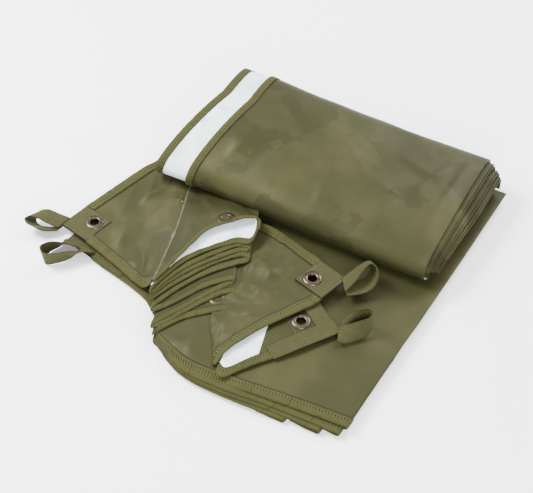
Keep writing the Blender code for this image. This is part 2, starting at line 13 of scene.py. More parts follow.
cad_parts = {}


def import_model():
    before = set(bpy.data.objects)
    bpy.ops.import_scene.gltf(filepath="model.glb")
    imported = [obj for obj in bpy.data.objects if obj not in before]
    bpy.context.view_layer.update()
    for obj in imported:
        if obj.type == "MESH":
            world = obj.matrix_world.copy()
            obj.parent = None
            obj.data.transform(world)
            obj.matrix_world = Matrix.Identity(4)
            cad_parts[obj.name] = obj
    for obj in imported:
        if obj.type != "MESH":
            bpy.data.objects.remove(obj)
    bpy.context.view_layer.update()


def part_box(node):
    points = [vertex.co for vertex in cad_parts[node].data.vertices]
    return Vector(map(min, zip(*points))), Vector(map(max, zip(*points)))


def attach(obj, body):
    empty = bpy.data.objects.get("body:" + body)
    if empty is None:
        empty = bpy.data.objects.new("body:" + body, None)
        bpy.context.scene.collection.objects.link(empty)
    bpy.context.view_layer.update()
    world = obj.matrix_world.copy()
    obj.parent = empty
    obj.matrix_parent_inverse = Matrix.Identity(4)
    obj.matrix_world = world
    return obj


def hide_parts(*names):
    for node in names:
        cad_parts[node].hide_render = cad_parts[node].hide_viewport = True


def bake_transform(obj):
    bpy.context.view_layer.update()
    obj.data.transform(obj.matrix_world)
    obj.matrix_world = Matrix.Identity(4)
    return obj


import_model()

MM = 0.001
HALF_MM = 0.0005
EDGE_PROBE = 0.06             # how far in, in u or v, an edge's scale is measured
TAPE_CM = 3.1                 # edge tape unfolded, in the units of its UV map
WEBBING_WIDTH = 25.0
# Each corner: its tip, the ways along its two edges, and the side of the square on
# it, how far in from both edges its eyelet is, and the height that it lies at.
LEFT_EDGES = {"back": (0.225, 0.974), "front": (0.974, -0.225), "side": 50.0, "inset": 33.0}
UPPER_LEFT = {"tip": (-270.0, -108.0), "height": 11.6, **LEFT_EDGES}
LOWER_LEFT = {"tip": (-252.0, -124.5), "height": 3.6, **LEFT_EDGES}
UPPER_RIGHT = {"tip": (137.0, -27.0), "back": (-0.956, 0.293), "front": (-0.293, -0.956),
               "side": 50.0, "inset": 33.0, "height": 27.6}
LOWER_RIGHT = {"tip": (166.0, -108.0), "back": (-0.820, 0.572), "front": (-0.572, -0.820),
               "side": 54.0, "inset": 37.5, "height": 19.6}
LEFT_FOLD = ((-228.0, 50.0), (-105.0, -163.0))


def corner_point(corner, back, front, height):
    tip = Vector((*corner["tip"], height))
    along = Vector((*corner["back"], 0.0)) * back
    return tip + along + Vector((*corner["front"], 0.0)) * front


def drawing_origin():
    """Where the drawing's origin is in the frame, from two known pieces."""
    low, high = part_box("eyelet_left_upper")
    middle = (Vector(low) + Vector(high)) / 2
    inset = UPPER_LEFT["inset"]
    drawn = corner_point(UPPER_LEFT, inset, inset, 0.0) * MM
    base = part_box("base_leaf_bottom")[0][2]
    return Vector((middle.x - drawn.x, middle.y - drawn.y, base))


DRAWING = drawing_origin()


def world(point):
    return Vector(point) * MM + DRAWING


# ---------------------------------------------------------------- curves

def mix(a, b, t):
    return Vector(a).lerp(Vector(b), t)


def smooth(value, low=0.0, high=1.0):
    t = min(max((value - low) / (high - low), 0.0), 1.0)
    return t * t * (3 - 2 * t)


class Path:
    """A smooth curve through points, read at t from 0 to 1 along its length."""

    def __init__(self, *points, stops=None):
        self.points = [Vector(point) for point in points]
        steps = [(b - a).length for a, b in zip(self.points, self.points[1:])]
        self.stops = stops or [sum(steps[:i]) for i in range(len(self.points))]
        self.length = self.stops[-1]

    def at(self, t):
        along = min(max(t, 0.0), 1.0) * self.length
        last = len(self.points) - 2
        i = 0
        while i < last and self.stops[i + 1] <= along + 1e-9:
            i += 1
        start, end = self.points[i], self.points[i + 1]
        before = self.points[i - 1] if i > 0 else 2 * start - end
        after = self.points[i + 2] if i < last else 2 * end - start
        s = (along - self.stops[i]) / (self.stops[i + 1] - self.stops[i])
        return 0.5 * ((2 * start) + (end - before) * s
                      + (2 * before - 5 * start + 4 * end - after) * s * s
                      + (3 * start - before - 3 * end + after) * s ** 3)


def coons(front, back, left, right):
    """The surface spanned by four curves: u runs left to right, v front to back."""
    def surface(u, v):
        rails = mix(front.at(u), back.at(u), v)
        sides = mix(left.at(v), right.at(v), u)
        ends = mix(mix(front.at(0), front.at(1), u), mix(back.at(0), back.at(1), u), v)
        return rails + sides - ends
    return surface


# ---------------------------------------------------------------- folds and wrinkles

def rough(point, size, seed=0.0):
    """Smooth noise with about one wave in size mm, from -1 to 1."""
    place = Vector((point.x / size + seed, point.y / size - seed, point.z / size + 2 * seed))
    return noise.noise(place)


def puckers(point, size, seed):
    """Noise with narrow crests, from 0 to 1, as in creased coated cloth."""
    return (1 - abs(rough(point, size, seed))) ** 6


def crease(point, start, end, width, height, soft=2.5):
    """Height of a crease between two places: steep on one side, soft on the other."""
    dx, dy = end[0] - start[0], end[1] - start[1]
    length = hypot(dx, dy)
    along = ((point.x - start[0]) * dx + (point.y - start[1]) * dy) / length
    off = ((point.x - start[0]) * dy - (point.y - start[1]) * dx) / length
    wander = 0.35 * width * rough(point, 45, start[0] * 0.1)
    off += wander
    reach = width if off > 0 else width * soft
    fade = smooth(along, -0.1 * length, 0.3 * length)
    fade *= 1 - smooth(along, 0.65 * length, 1.1 * length)
    return height * exp(-abs(off / reach) ** 1.5) * fade


def creases(point, rows, rise=0.0, share=1.0):
    """A rise with each crease of the rows added to it in turn."""
    for row in rows:
        rise += crease(point, *row) * share
    return rise


def unit(vector):
    return vector.normalized() if vector.length > 1e-9 else Vector((0, 0, 1))


class Surface:
    """A shape(u, v) with a lift along its normal."""

    def __init__(self, shape, lift=None, side=1):
        self.shape = shape
        self.lift = lift
        self.side = side

    def normal(self, u, v):
        step = 0.004
        east = self.shape(min(u + step, 1), v) - self.shape(max(u - step, 0), v)
        north = self.shape(u, min(v + step, 1)) - self.shape(u, max(v - step, 0))
        return unit(east.cross(north) * self.side)

    def at(self, u, v, height=0.0):
        point = self.shape(u, v)
        rise = height + (self.lift(point, u, v) if self.lift else 0.0)
        return point + self.normal(u, v) * rise if rise else point


# ---------------------------------------------------------------- materials

def node(tree, kind, inputs=None, **settings):
    item = tree.nodes.new(kind)
    for key, value in settings.items():
        setattr(item, key, value)
    for key, value in (inputs or {}).items():
        if isinstance(value, bpy.types.NodeSocket):
            tree.links.new(value, item.inputs[key])
        else:
            item.inputs[key].default_value = value
    return item


def maths(tree, operation, first, second=0.0):
    item = node(tree, "ShaderNodeMath", {0: first, 1: second}, operation=operation)
    return item.outputs[0]


def blend_colour(tree, factor, first, second, mode="MIX"):
    item = node(tree, "ShaderNodeMix", {"Factor": factor}, data_type="RGBA", blend_type=mode)
    for socket, value in ((item.inputs[6], first), (item.inputs[7], second)):
        if isinstance(value, bpy.types.NodeSocket):
            tree.links.new(value, socket)
        else:
            socket.default_value = (*value, 1.0)
    return item.outputs[2]


def times(tree, first, second):
    return maths(tree, "MULTIPLY", first, second)


def near(tree, value, centre, reach):
    """1 where the value is within reach of the centre."""
    off = maths(tree, "ABSOLUTE", maths(tree, "SUBTRACT", value, centre))
    return maths(tree, "LESS_THAN", off, reach)


def ramp(tree, value, low, high, first=0.0, second=1.0):
    item = node(tree, "ShaderNodeMapRange", {"Value": value, "From Min": low, "From Max": high,
                                             "To Min": first, "To Max": second},
                interpolation_type="SMOOTHSTEP")
    return item.outputs["Result"]


def speckle(tree, where, size_mm, detail=2.0, rough_value=0.5, seed=0.0):
    shifted = node(tree, "ShaderNodeMapping", {"Vector": where,
                                               "Location": (seed, seed * 0.7, -seed)})
    item = node(tree, "ShaderNodeTexNoise", {"Vector": shifted.outputs[0],
                                             "Scale": 1000.0 / size_mm, "Detail": detail,
                                             "Roughness": rough_value})
    return item.outputs["Fac"]


def waves(tree, value, period):
    """A sine of the value, from 0 to 1, with that period."""
    turned = maths(tree, "SINE", times(tree, value, 2 * pi / period))
    return node(tree, "ShaderNodeMath", {0: turned, 1: 0.5, 2: 0.5},
                operation="MULTIPLY_ADD").outputs[0]


def start_material(name, roughness, specular, sheen=0.0, sheen_tint=(1, 1, 1), metallic=0.0,
                   tint=(1, 1, 1)):
    material = bpy.data.materials.new(name)
    material.use_nodes = True
    tree = material.node_tree
    shader = tree.nodes["Principled BSDF"]
    shader.inputs["Roughness"].default_value = roughness
    shader.inputs["Specular IOR Level"].default_value = specular
    shader.inputs["Specular Tint"].default_value = (*tint, 1.0)
    shader.inputs["Metallic"].default_value = metallic
    shader.inputs["Sheen Weight"].default_value = sheen
    shader.inputs["Sheen Tint"].default_value = (*sheen_tint, 1.0)
    shader.inputs["Sheen Roughness"].default_value = 0.35
    where = node(tree, "ShaderNodeTexCoord")
    split = node(tree, "ShaderNodeSeparateXYZ", {0: where.outputs["UV"]})
    return material, tree, shader, where.outputs["Object"], split.outputs[0], split.outputs[1]


def set_bump(tree, shader, layers):
    """Bump from (height, strength, distance in mm) layers, coarse to fine."""
    normal = None
    for height, strength, distance in layers:
        inputs = {"Height": height, "Strength": strength, "Distance": distance * MM}
        if normal is not None:
            inputs["Normal"] = normal
        normal = node(tree, "ShaderNodeBump", inputs).outputs[0]
    tree.links.new(normal, shader.inputs["Normal"])


def cloth_material(name, shade=1.0, sheen_share=0.5, reflection_blotches=0.0):
    """Coated nylon: a fine plain weave, a satin face, soft tan areas of painted sheen, darker
    patches of painted shade and, on the pack, darker blotches of painted reflection.
    """
    material, tree, shader, where, across, along = start_material(
        name, 0.42, 0.15, 0.02, (0.75, 0.66, 0.38), tint=(1.0, 0.97, 0.62))
    green = tuple(shade * c for c in (0.0175, 0.0185, 0.0066))
    painted_sheen_tan = tuple(shade * c for c in (0.0270, 0.0262, 0.0098))
    painted_dark = tuple(shade * c for c in (0.0105, 0.0112, 0.0042))
    # Soft tan areas are painted sheen: the satin's highlights put into the colour.
    broad = speckle(tree, where, 130, 2.0, 0.5, 0.3)
    patch = speckle(tree, where, 42, 3.0, 0.55, 1.7)
    colour = blend_colour(tree, ramp(tree, broad, 0.62 - 0.3 * sheen_share, 0.80 - 0.3 * sheen_share),
                          green, painted_sheen_tan)
    # Darker patches of painted shade on the cloth.
    colour = blend_colour(tree, ramp(tree, patch, 0.52, 0.80, 0.0, 0.45), colour, painted_dark)
    # On the pack: darker blotches of painted reflection in the satin.
    if reflection_blotches:
        edge = speckle(tree, where, 95, 4.0, 0.55, 4.1)
        colour = blend_colour(tree, ramp(tree, edge, 0.545, 0.56, 0.0, reflection_blotches), colour, painted_dark)
    thread = times(tree, waves(tree, across, 0.055), waves(tree, along, 0.055))
    colour = blend_colour(tree, times(tree, thread, 0.16), colour,
                          tuple(shade * c for c in (0.036, 0.035, 0.012)))
    tree.links.new(colour, shader.inputs["Base Color"])
    tree.links.new(ramp(tree, patch, 0.3, 0.7, 0.47, 0.58), shader.inputs["Roughness"])
    set_bump(tree, shader, [(speckle(tree, where, 30, 1.5, 0.45, 2.2), 0.32, 1.5),
                            (thread, 0.25, 0.05)])
    return material


def lining_material():
    """Pale bluish coated lining with faint blotches and fine fibres."""
    material, tree, shader, where, _, _ = start_material("lining", 0.55, 0.35)
    cloud = speckle(tree, where, 34, 4.0, 0.6, 0.9)
    colour = blend_colour(tree, ramp(tree, cloud, 0.30, 0.62), (0.42, 0.50, 0.54),
                          (0.66, 0.72, 0.74))
    fibre = speckle(tree, where, 2.2, 2.0, 0.7)
    colour = blend_colour(tree, ramp(tree, fibre, 0.5, 0.8, 0.0, 0.25), colour,
                          (0.52, 0.60, 0.65))
    tree.links.new(colour, shader.inputs["Base Color"])
    set_bump(tree, shader, [(cloud, 0.3, 0.8), (fibre, 0.25, 0.10)])
    return material


def binding_material():
    """Woven edge tape: diagonal ribs, and a line of stitches by each inner edge."""
    material, tree, shader, where, across, along = start_material(
        "binding", 0.78, 0.12, 0.05, (0.80, 0.78, 0.40))
    twill = waves(tree, maths(tree, "ADD", across, along), 0.11)
    ribs = waves(tree, along, 0.09)
    worn = speckle(tree, where, 18, 3.0, 0.6, 3.3)
    colour = blend_colour(tree, twill, (0.018, 0.0188, 0.0048), (0.047, 0.0465, 0.0130))
    colour = blend_colour(tree, ramp(tree, worn, 0.4, 0.75, 0.0, 0.5), colour,
                          (0.022, 0.022, 0.0065))
    hem = maths(tree, "PINGPONG", across, TAPE_CM / 2)
    inner = near(tree, hem, 0.36, 0.060)
    colour = blend_colour(tree, ramp(tree, hem, 0.03, 0.16, 0.85, 0.0), colour,
                          (0.006, 0.006, 0.002))
    place = maths(tree, "PINGPONG", maths(tree, "ADD", along, 7.1), 8.6)
    seam = near(tree, place, 6.0, 0.05)
    colour = blend_colour(tree, times(tree, seam, 0.8), colour,
                          (0.008, 0.008, 0.003))
    dash = ramp(tree, waves(tree, along, 0.42), 0.50, 0.78)
    stitch = times(tree, inner, dash)
    colour = blend_colour(tree, times(tree, inner, 0.80), colour,
                          (0.006, 0.006, 0.002))
    colour = blend_colour(tree, times(tree, stitch, 0.8), colour,
                          (0.066, 0.064, 0.022))
    tree.links.new(colour, shader.inputs["Base Color"])
    height = maths(tree, "SUBTRACT", times(tree, twill, 0.4),
                   times(tree, inner, 0.9))
    height = maths(tree, "ADD", height, stitch)
    set_bump(tree, shader, [(worn, 0.5, 1.2), (ribs, 0.3, 0.12), (height, 0.8, 0.35)])
    return material


def webbing_material(name, side_mm, dark_ends=False):
    """Ribbed webbing: ribs along its length, fine picks across, darker selvedges."""
    material, tree, shader, where, across, along = start_material(
        name, 0.74, 0.12, 0.05, (0.72, 0.66, 0.36))
    ribs = waves(tree, across, 0.22)
    picks = waves(tree, along, 0.10)
    fuzz = speckle(tree, where, 9, 3.0, 0.65, 1.1)
    colour = blend_colour(tree, ribs, (0.009, 0.0095, 0.003), (0.056, 0.055, 0.018))
    colour = blend_colour(tree, times(tree, picks, 0.35), colour,
                          (0.018, 0.017, 0.006))
    colour = blend_colour(tree, ramp(tree, fuzz, 0.45, 0.8, 0.0, 0.5), colour,
                          (0.044, 0.043, 0.015))
    rim = maths(tree, "PINGPONG", across, side_mm / 20)
    colour = blend_colour(tree, ramp(tree, rim, 0.04, 0.13, 0.55, 0.0), colour,
                          (0.009, 0.009, 0.003))
    height = maths(tree, "ADD", times(tree, ribs, 0.8),
                   times(tree, picks, 0.35))
    if dark_ends:
        end = maths(tree, "PINGPONG", along, side_mm / 20)
        close = maths(tree, "MINIMUM", rim, end)
        colour = blend_colour(tree, ramp(tree, close, 0.05, 0.13, 0.95, 0.0), colour,
                              (0.004, 0.005, 0.007))
        line = near(tree, close, 0.42, 0.055)
        dash = ramp(tree, waves(tree, maths(tree, "ADD", across, along), 0.40), 0.45, 0.7)
        colour = blend_colour(tree, times(tree, line, 0.6), colour,
                              (0.007, 0.007, 0.003))
        colour = blend_colour(tree, times(tree, line, dash), colour,
                              (0.055, 0.052, 0.021))
        height = maths(tree, "SUBTRACT", height, times(tree, line, 0.8))
    tree.links.new(colour, shader.inputs["Base Color"])
    set_bump(tree, shader, [(fuzz, 0.25, 0.5), (height, 0.9, 0.40)])
    return material


def eyelet_material():
    """Antique copper: bright where it is rubbed, dark in the hollows."""
    material, tree, shader, where, _, _ = start_material("eyelet", 0.34, 0.5, metallic=1.0)
    tarnish = speckle(tree, where, 7, 4.0, 0.65, 5.2)
    colour = blend_colour(tree, ramp(tree, tarnish, 0.40, 0.66), (0.092, 0.066, 0.044),
                          (0.028, 0.026, 0.024))
    tree.links.new(colour, shader.inputs["Base Color"])
    tree.links.new(ramp(tree, tarnish, 0.3, 0.7, 0.24, 0.50), shader.inputs["Roughness"])
    set_bump(tree, shader, [(tarnish, 0.25, 0.25)])
    return material


def plain_material(name, colour, roughness, size, other):
    material, tree, shader, where, _, _ = start_material(name, roughness, 0.3)
    grain = speckle(tree, where, size, 3.0, 0.6)
    tree.links.new(blend_colour(tree, ramp(tree, grain, 0.35, 0.7), colour, other),
                   shader.inputs["Base Color"])
    set_bump(tree, shader, [(grain, 0.3, 0.3)])
    return material


CLOTH = cloth_material("cloth", 1.0, 0.50)
PACK_CLOTH = cloth_material("cloth_pack", 1.03, 0.42, reflection_blotches=0.55)
# A darker copy of the cloth: painted shade.
SHADED_CLOTH = cloth_material("cloth_pleats_painted_shade", 0.80, 0.35)
LINING = lining_material()
BINDING = binding_material()
WEBBING = webbing_material("webbing", WEBBING_WIDTH)
PATCH = webbing_material("webbing_patch", UPPER_LEFT["side"], dark_ends=True)
METAL = eyelet_material()
# A lighter tan for the fold's ridge: partly wear, partly painted highlight.
WORN_HIGHLIGHT = plain_material("worn_crease_highlight", (0.062, 0.058, 0.030), 0.7, 6, (0.032, 0.030, 0.015))


# ---------------------------------------------------------------- meshes

def hold(item, body):
    """Ride on one body given by name; given anything else, stay fixed in the frame."""
    if isinstance(body, str):
        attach(item, body)
    else:
        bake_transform(item)


def finish_mesh(name, vertices, faces, uvs, kinds, materials, body, angle=50):
    mesh = bpy.data.meshes.new(name)
    mesh.from_pydata([world(point) for point in vertices], [], faces)
    layer = mesh.uv_layers.new(name="UVMap")
    for polygon in mesh.polygons:
        for loop in polygon.loop_indices:
            layer.data[loop].uv = uvs[mesh.loops[loop].vertex_index]
        polygon.material_index = kinds[polygon.index]
        polygon.use_smooth = True
    for material in materials:
        mesh.materials.append(material)
    mesh.set_sharp_from_angle(angle=radians(angle))
    mesh.validate()
    item = bpy.data.objects.new(name, mesh)
    bpy.context.scene.collection.objects.link(item)
    hold(item, body)
    return item


def lengths(points):
    total, result = 0.0, [0.0]
    for a, b in zip(points, points[1:]):
        total += (b - a).length
        result.append(total)
    return result


def cloth(name, surface, size, materials, thickness, body, replaces=(), rests_on=None,
          keep=None, ranges=(0, 1, 0, 1), inside=None):
    """A sheet on a surface: two faces and a rim. Its flat size is worked out when it rests on
    another piece, but not used.

    size is the length of a mesh step. keep(u, v, point) is false where the sheet
    is left out, and inside(u, v) gives the other face's material. The flat size
    is the longest row by the longest column. The area counts each cell as length
    times width, which is too much where cells are slanted.
    """
    u0, u1, v0, v1 = ranges
    mid_u = [surface.at(u0 + (u1 - u0) * i / 12, (v0 + v1) / 2) for i in range(13)]
    mid_v = [surface.at((u0 + u1) / 2, v0 + (v1 - v0) * i / 12) for i in range(13)]
    columns = max(2, round(lengths(mid_u)[-1] / size[0]))
    rows = max(2, round(lengths(mid_v)[-1] / size[1]))
    grid = [[surface.at(u0 + (u1 - u0) * i / columns, v0 + (v1 - v0) * j / rows)
             for i in range(columns + 1)] for j in range(rows + 1)]
    across = lengths(grid[rows // 2])
    along = lengths([row[columns // 2] for row in grid])
    top, bottom, uvs = [], [], []
    for j, row in enumerate(grid):
        for i, point in enumerate(row):
            east = row[min(i + 1, columns)] - row[max(i - 1, 0)]
            north = grid[min(j + 1, rows)][i] - grid[max(j - 1, 0)][i]
            normal = unit(east.cross(north) * surface.side)
            top.append(point + normal * thickness / 2)
            bottom.append(point - normal * thickness / 2)
            uvs.append((across[i] / 10, along[j] / 10))
    count = len(top)
    quads, faces, kinds, area = [], [], [], 0.0
    for j in range(rows):
        for i in range(columns):
            u = u0 + (u1 - u0) * (i + 0.5) / columns
            v = v0 + (v1 - v0) * (j + 0.5) / rows
            if keep and not keep(u, v, surface.shape(u, v)):
                continue
            a = j * (columns + 1) + i
            quads.append((a, a + 1, a + columns + 2, a + columns + 1, u, v))
    edges = {}
    for a, b, c, d, u, v in quads:
        faces.append((a, b, c, d))
        kinds.append(0)
        faces.append((d + count, c + count, b + count, a + count))
        kinds.append(inside(u, v) if inside else len(materials) - 1)
        area += (top[b] - top[a]).length * (top[d] - top[a]).length
        for edge in ((a, b), (b, c), (c, d), (d, a)):
            edges[edge] = True
    for a, b in list(edges):
        if (b, a) not in edges:
            faces.append((b, a, a + count, b + count))
            kinds.append(0)
    used = sorted({index for face in faces for index in face})
    places = {index: k for k, index in enumerate(used)}
    vertices = [(top + bottom)[index] for index in used]
    faces = [tuple(places[index] for index in face[::surface.side]) for face in faces]
    uvs = [(uvs + uvs)[index] for index in used]
    item = finish_mesh(name, vertices, faces, uvs, kinds, materials, body)
    if replaces:
        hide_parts(*replaces)
    if rests_on:
        width = max(lengths(row)[-1] for row in grid) * MM
        length = max(lengths([row[i] for row in grid])[-1] for i in range(columns + 1)) * MM
        size = (round(width + HALF_MM, 3), round(length + HALF_MM, 3))
    return item


def edge_place(surface, side, t, inward, height):
    """A place by the surface's edge: inward along it and height off it, in mm."""
    start, sign = (0.0, 1) if side in ("front", "left") else (1.0, -1)

    def place(off):
        return (t, off) if side in ("front", "back") else (off, t)
    near_edge = surface.shape(*place(start + sign * EDGE_PROBE))
    probe = (near_edge - surface.shape(*place(start))).length
    off = start + sign * EDGE_PROBE * inward / max(probe, 1e-6)
    return surface.at(*place(off), height)


TAPE = [(1.0, 0.45), (0.82, 0.62), (0.45, 0.68), (0.12, 0.72), (0.0, 0.5)]


def bind(name, surface, side, start, end, body, replaces=(), width=15.0, step=3.0, gap=0.5,
         pucker=0.5):
    """Tape folded over an edge: a U section that follows the cloth."""
    widest = width if callable(width) else lambda t: width
    profile = [(a, gap + h) for a, h in TAPE] + [(-0.9, 0.0)]
    profile += [(s, -h) for s, h in reversed(profile[:-1])]

    def shape(u, v):
        t = start + (end - start) * v
        place = u * (len(profile) - 1)
        i = min(int(place), len(profile) - 2)
        inward, height = (mix((*profile[i], 0), (*profile[i + 1], 0), place - i)).xy
        point = edge_place(surface, side, t, widest(t) * max(inward, 0.0), height)
        if inward < 0:
            away = (point - edge_place(surface, side, t, 3.0, height)).normalized()
            point = point - away * inward
        ripple = pucker * rough(point, 9, 7.0) * (1 - 0.5 * abs(2 * u - 1))
        return point + Vector((0, 0, ripple))
    rows = [shape(0.5, i / 24) for i in range(25)]
    total = lengths(rows)[-1]
    columns, count = len(profile) - 1, max(4, round(total / step))
    grid = [[shape(i / columns, j / count) for i in range(columns + 1)]
            for j in range(count + 1)]
    along = lengths([row[columns // 2] for row in grid])
    across = [0.0]
    for a, b in zip(profile, profile[1:]):
        across.append(across[-1] + abs(b[0] - a[0]) + 0.04)
    scale = 10 * TAPE_CM / across[-1]
    middle = [sum(row, Vector()) / len(row) for row in grid]
    vertices, uvs = [], []
    for layer in (0.0, 0.45):
        for j, row in enumerate(grid):
            for i, point in enumerate(row):
                before, after = row[max(i - 1, 0)], row[min(i + 1, columns)]
                ahead = grid[min(j + 1, count)][i] - grid[max(j - 1, 0)][i]
                normal = unit((after - before).cross(ahead))
                if normal.dot(point - middle[j]) < 0 and 1 <= i <= columns - 1:
                    normal = -normal
                if i in (0, columns):
                    normal = surface_side(point, middle[j], normal)
                vertices.append(point + normal * layer)
                uvs.append((across[i] * scale / 10, along[j] / 10))
    size = (columns + 1) * (count + 1)
    faces = []
    for j in range(count):
        for i in range(columns):
            a = j * (columns + 1) + i
            b, c, d = a + 1, a + columns + 2, a + columns + 1
            faces.append((a + size, b + size, c + size, d + size))
            faces.append((d, c, b, a))
            if i == 0:
                faces.append((a, a + size, d + size, d))
            if i == columns - 1:
                faces.append((b, c, c + size, b + size))
            if j == 0:
                faces.append((a, b, b + size, a + size))
            if j == count - 1:
                faces.append((d, d + size, c + size, c))
    item = finish_mesh(name, vertices, faces, uvs, [0] * len(faces), [BINDING], body, 60)
    tidy_normals(item.data)
    if replaces:
        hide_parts(*replaces)


def surface_side(point, middle, normal):
    return normal if normal.dot(point - middle) > 0 else -normal


def tidy_normals(mesh):
    work = bmesh.new()
    work.from_mesh(mesh)
    bmesh.ops.recalc_face_normals(work, faces=work.faces)
    work.to_mesh(mesh)
    work.free()


def ribbon(name, centre, sides, body, replaces):
    """Webbing along a centre path, its width turning through given directions."""
    across = Path(*sides, stops=centre.stops)

    def shape(u, v):
        return centre.at(v) + across.at(v).normalized() * (u - 0.5) * WEBBING_WIDTH
    cloth(name, Surface(shape), (3.1, 2.2), [WEBBING], 1.4, body, replaces)


def corner_patch(name, corner, body, replaces, material):
    """A square on a cloth corner with the eyelet's round hole in it."""
    side, inset, height = corner["side"], corner["inset"], corner["height"]
    thickness, hole = 3.0, 7.2
    steps = [2 * pi * i / 60 for i in range(60)]
    corners = [(0.0, 0.0), (side, 0.0), (side, side), (0.0, side)]
    steps += [atan2(y - inset, x - inset) % (2 * pi) for x, y in corners]
    steps = sorted(set(round(a, 6) for a in steps))
    rings = [0.0, 0.15, 0.35, 0.55, 0.75, 0.93, 1.0]
    grid, uvs = [], []
    for angle in steps:
        dx, dy = cos(angle), sin(angle)
        reach = min(((side - inset) / dx if dx > 0 else -inset / dx) if abs(dx) > 1e-9 else 1e9,
                    ((side - inset) / dy if dy > 0 else -inset / dy) if abs(dy) > 1e-9 else 1e9)
        row = []
        for ring in rings:
            r = hole + (reach - hole) * ring
            row.append((inset + dx * r, inset + dy * r))
        grid.append(row)
    vertices = []
    for layer in (1, -1):
        for row in grid:
            for k, (a, b) in enumerate(row):
                edge = 0.72 if k == len(rings) - 1 else 1.0
                point = corner_point(corner, a, b, height)
                swell = 0.35 * rough(point, 17, 3.0) * (0 if k == 0 else 1)
                vertices.append(point + Vector((0, 0, layer * thickness / 2 * edge + swell)))
                uvs.append((a / 10, b / 10))
    count, width = len(grid), len(rings)
    total = count * width
    faces = []
    for i in range(count):
        after = (i + 1) % count
        for k in range(width - 1):
            a, b = i * width + k, i * width + k + 1
            c, d = after * width + k + 1, after * width + k
            faces.append((a, b, c, d))
            faces.append((d + total, c + total, b + total, a + total))
        a, d = i * width, after * width
        faces.append((d, d + total, a + total, a))
        a, d = i * width + width - 1, after * width + width - 1
        faces.append((a, a + total, d + total, d))
    item = finish_mesh(name, vertices, faces, uvs, [0] * len(faces), [material], body, 60)
    tidy_normals(item.data)
    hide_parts(*replaces)
    return item


GROMMET = [(6.35, 1.0), (6.7, 1.55), (7.6, 1.9), (8.8, 2.05), (10.2, 1.95), (11.6, 1.6),
           (12.7, 1.0), (13.15, 0.4), (12.2, 0.3), (7.0, 0.3), (6.9, -2.6), (6.2, -2.6)]
WASHER = [(6.5, -3.3), (13.0, -3.3), (12.7, -3.85), (11.2, -4.25), (9.2, -4.4), (7.4, -4.3),
          (6.5, -4.0)]
FLAT_RING = [(6.5, 1.0), (7.2, 1.45), (8.8, 1.6), (10.8, 1.4), (12.5, 0.9), (13.1, 0.35),
             (12.0, 0.25), (6.6, 0.25)]


def turned(name, profile, place, tilt, body, replaces):
    """A closed outline of (radius, height) turned about its own upright axis."""
    turns = 44
    vertices, uvs, faces = [], [], []
    for i in range(turns):
        angle = 2 * pi * i / turns
        for k, (r, z) in enumerate(profile):
            local = tilt @ Vector((r * cos(angle), r * sin(angle), z))
            vertices.append(Vector(place) + local)
            uvs.append((i / turns * 6, k * 0.3))
    width = len(profile)
    for i in range(turns):
        after = (i + 1) % turns
        for k in range(width):
            b = (k + 1) % width
            faces.append((i * width + k, after * width + k, after * width + b, i * width + b))
    item = finish_mesh(name, vertices, faces, uvs, [0] * len(faces), [METAL], body, 45)
    tidy_normals(item.data)
    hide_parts(*replaces)
    return item


def square_and_eyelet(name, node_name, place, corner, material=PATCH):
    """The square sewn on a corner, with the eyelet and its washer through it."""
    body, inset = f"flap_{place}", corner["inset"]
    corner_patch(name, corner, body, [node_name], material)
    centre = corner_point(corner, inset, inset, corner["height"] + 1.5)
    level = Matrix.Identity(3)
    turned(f"grommet_{place}", GROMMET, centre, level, body, [f"eyelet_{place}"])
    turned(f"backing_{place}", WASHER, centre, level, body, [f"washer_{place}"])


# ---------------------------------------------------------------- the base

BASE_LEFT = [(-48, -227), (-75, -140), (-106, -20), (-128, 60),
             (-160, 100), (-205, 118), (-198, 180), (-190, 246)]
BASE_FRONT = [(-48, -227), (11, -250), (71, -249), (140, -244)]


def base_leaf(right_front, right_back, front_shift, heights):
    """A leaf of the base whose right-hand edge is folded under.

    heights(x, y) gives the height of the top layer and of the bottom one.
    """
    left = Path(*[(x, y, 0) for x, y in BASE_LEFT])
    tuck = -0.85 * front_shift
    front = [(x, y + tuck * max(1 - i / 2, 0) + front_shift * i / 3, 0)
             for i, (x, y) in enumerate(BASE_FRONT)]
    front = [point for point in front if point[0] < right_front[0] - 20]
    front = Path(*front, (*right_front, 0))
    back = Path((*BASE_LEFT[-1], 0), (30, 248, 0), (*right_back, 0))
    bow = Vector((2.0, 0, 0))
    right = Path((*right_front, 0), mix((*right_front, 0), (*right_back, 0), 0.5) + bow,
                 (*right_back, 0))
    flat = coons(front, back, left, right)
    run, bend, under = 0.80, 0.4, 40.0

    def shape(u, v):
        if u <= run:
            point = flat(u / run, v)
            return Vector((point.x, point.y, heights(point.x, point.y)[0]))
        rim = flat(1.0, v)
        top, bottom = heights(rim.x, rim.y)
        radius = (top - bottom) / 2
        share = (u - run) / (1 - run)
        if share < bend:
            angle = pi * share / bend
            return Vector((rim.x + radius * sin(angle), rim.y,
                           (top + bottom) / 2 + radius * cos(angle)))
        inside = under * (share - bend) / 0.6
        low = heights(rim.x - inside, rim.y)[1]
        return Vector((rim.x - inside, rim.y, low))
    return shape


def flared(x_range, y_range, top, bottom):
    """Heights of a leaf that opens towards its right front end."""
    def heights(x, y):
        flare = smooth(x, *x_range) * smooth(y, *y_range)
        return top[0] + top[1] * flare, bottom[0] + bottom[1] * flare
    return heights


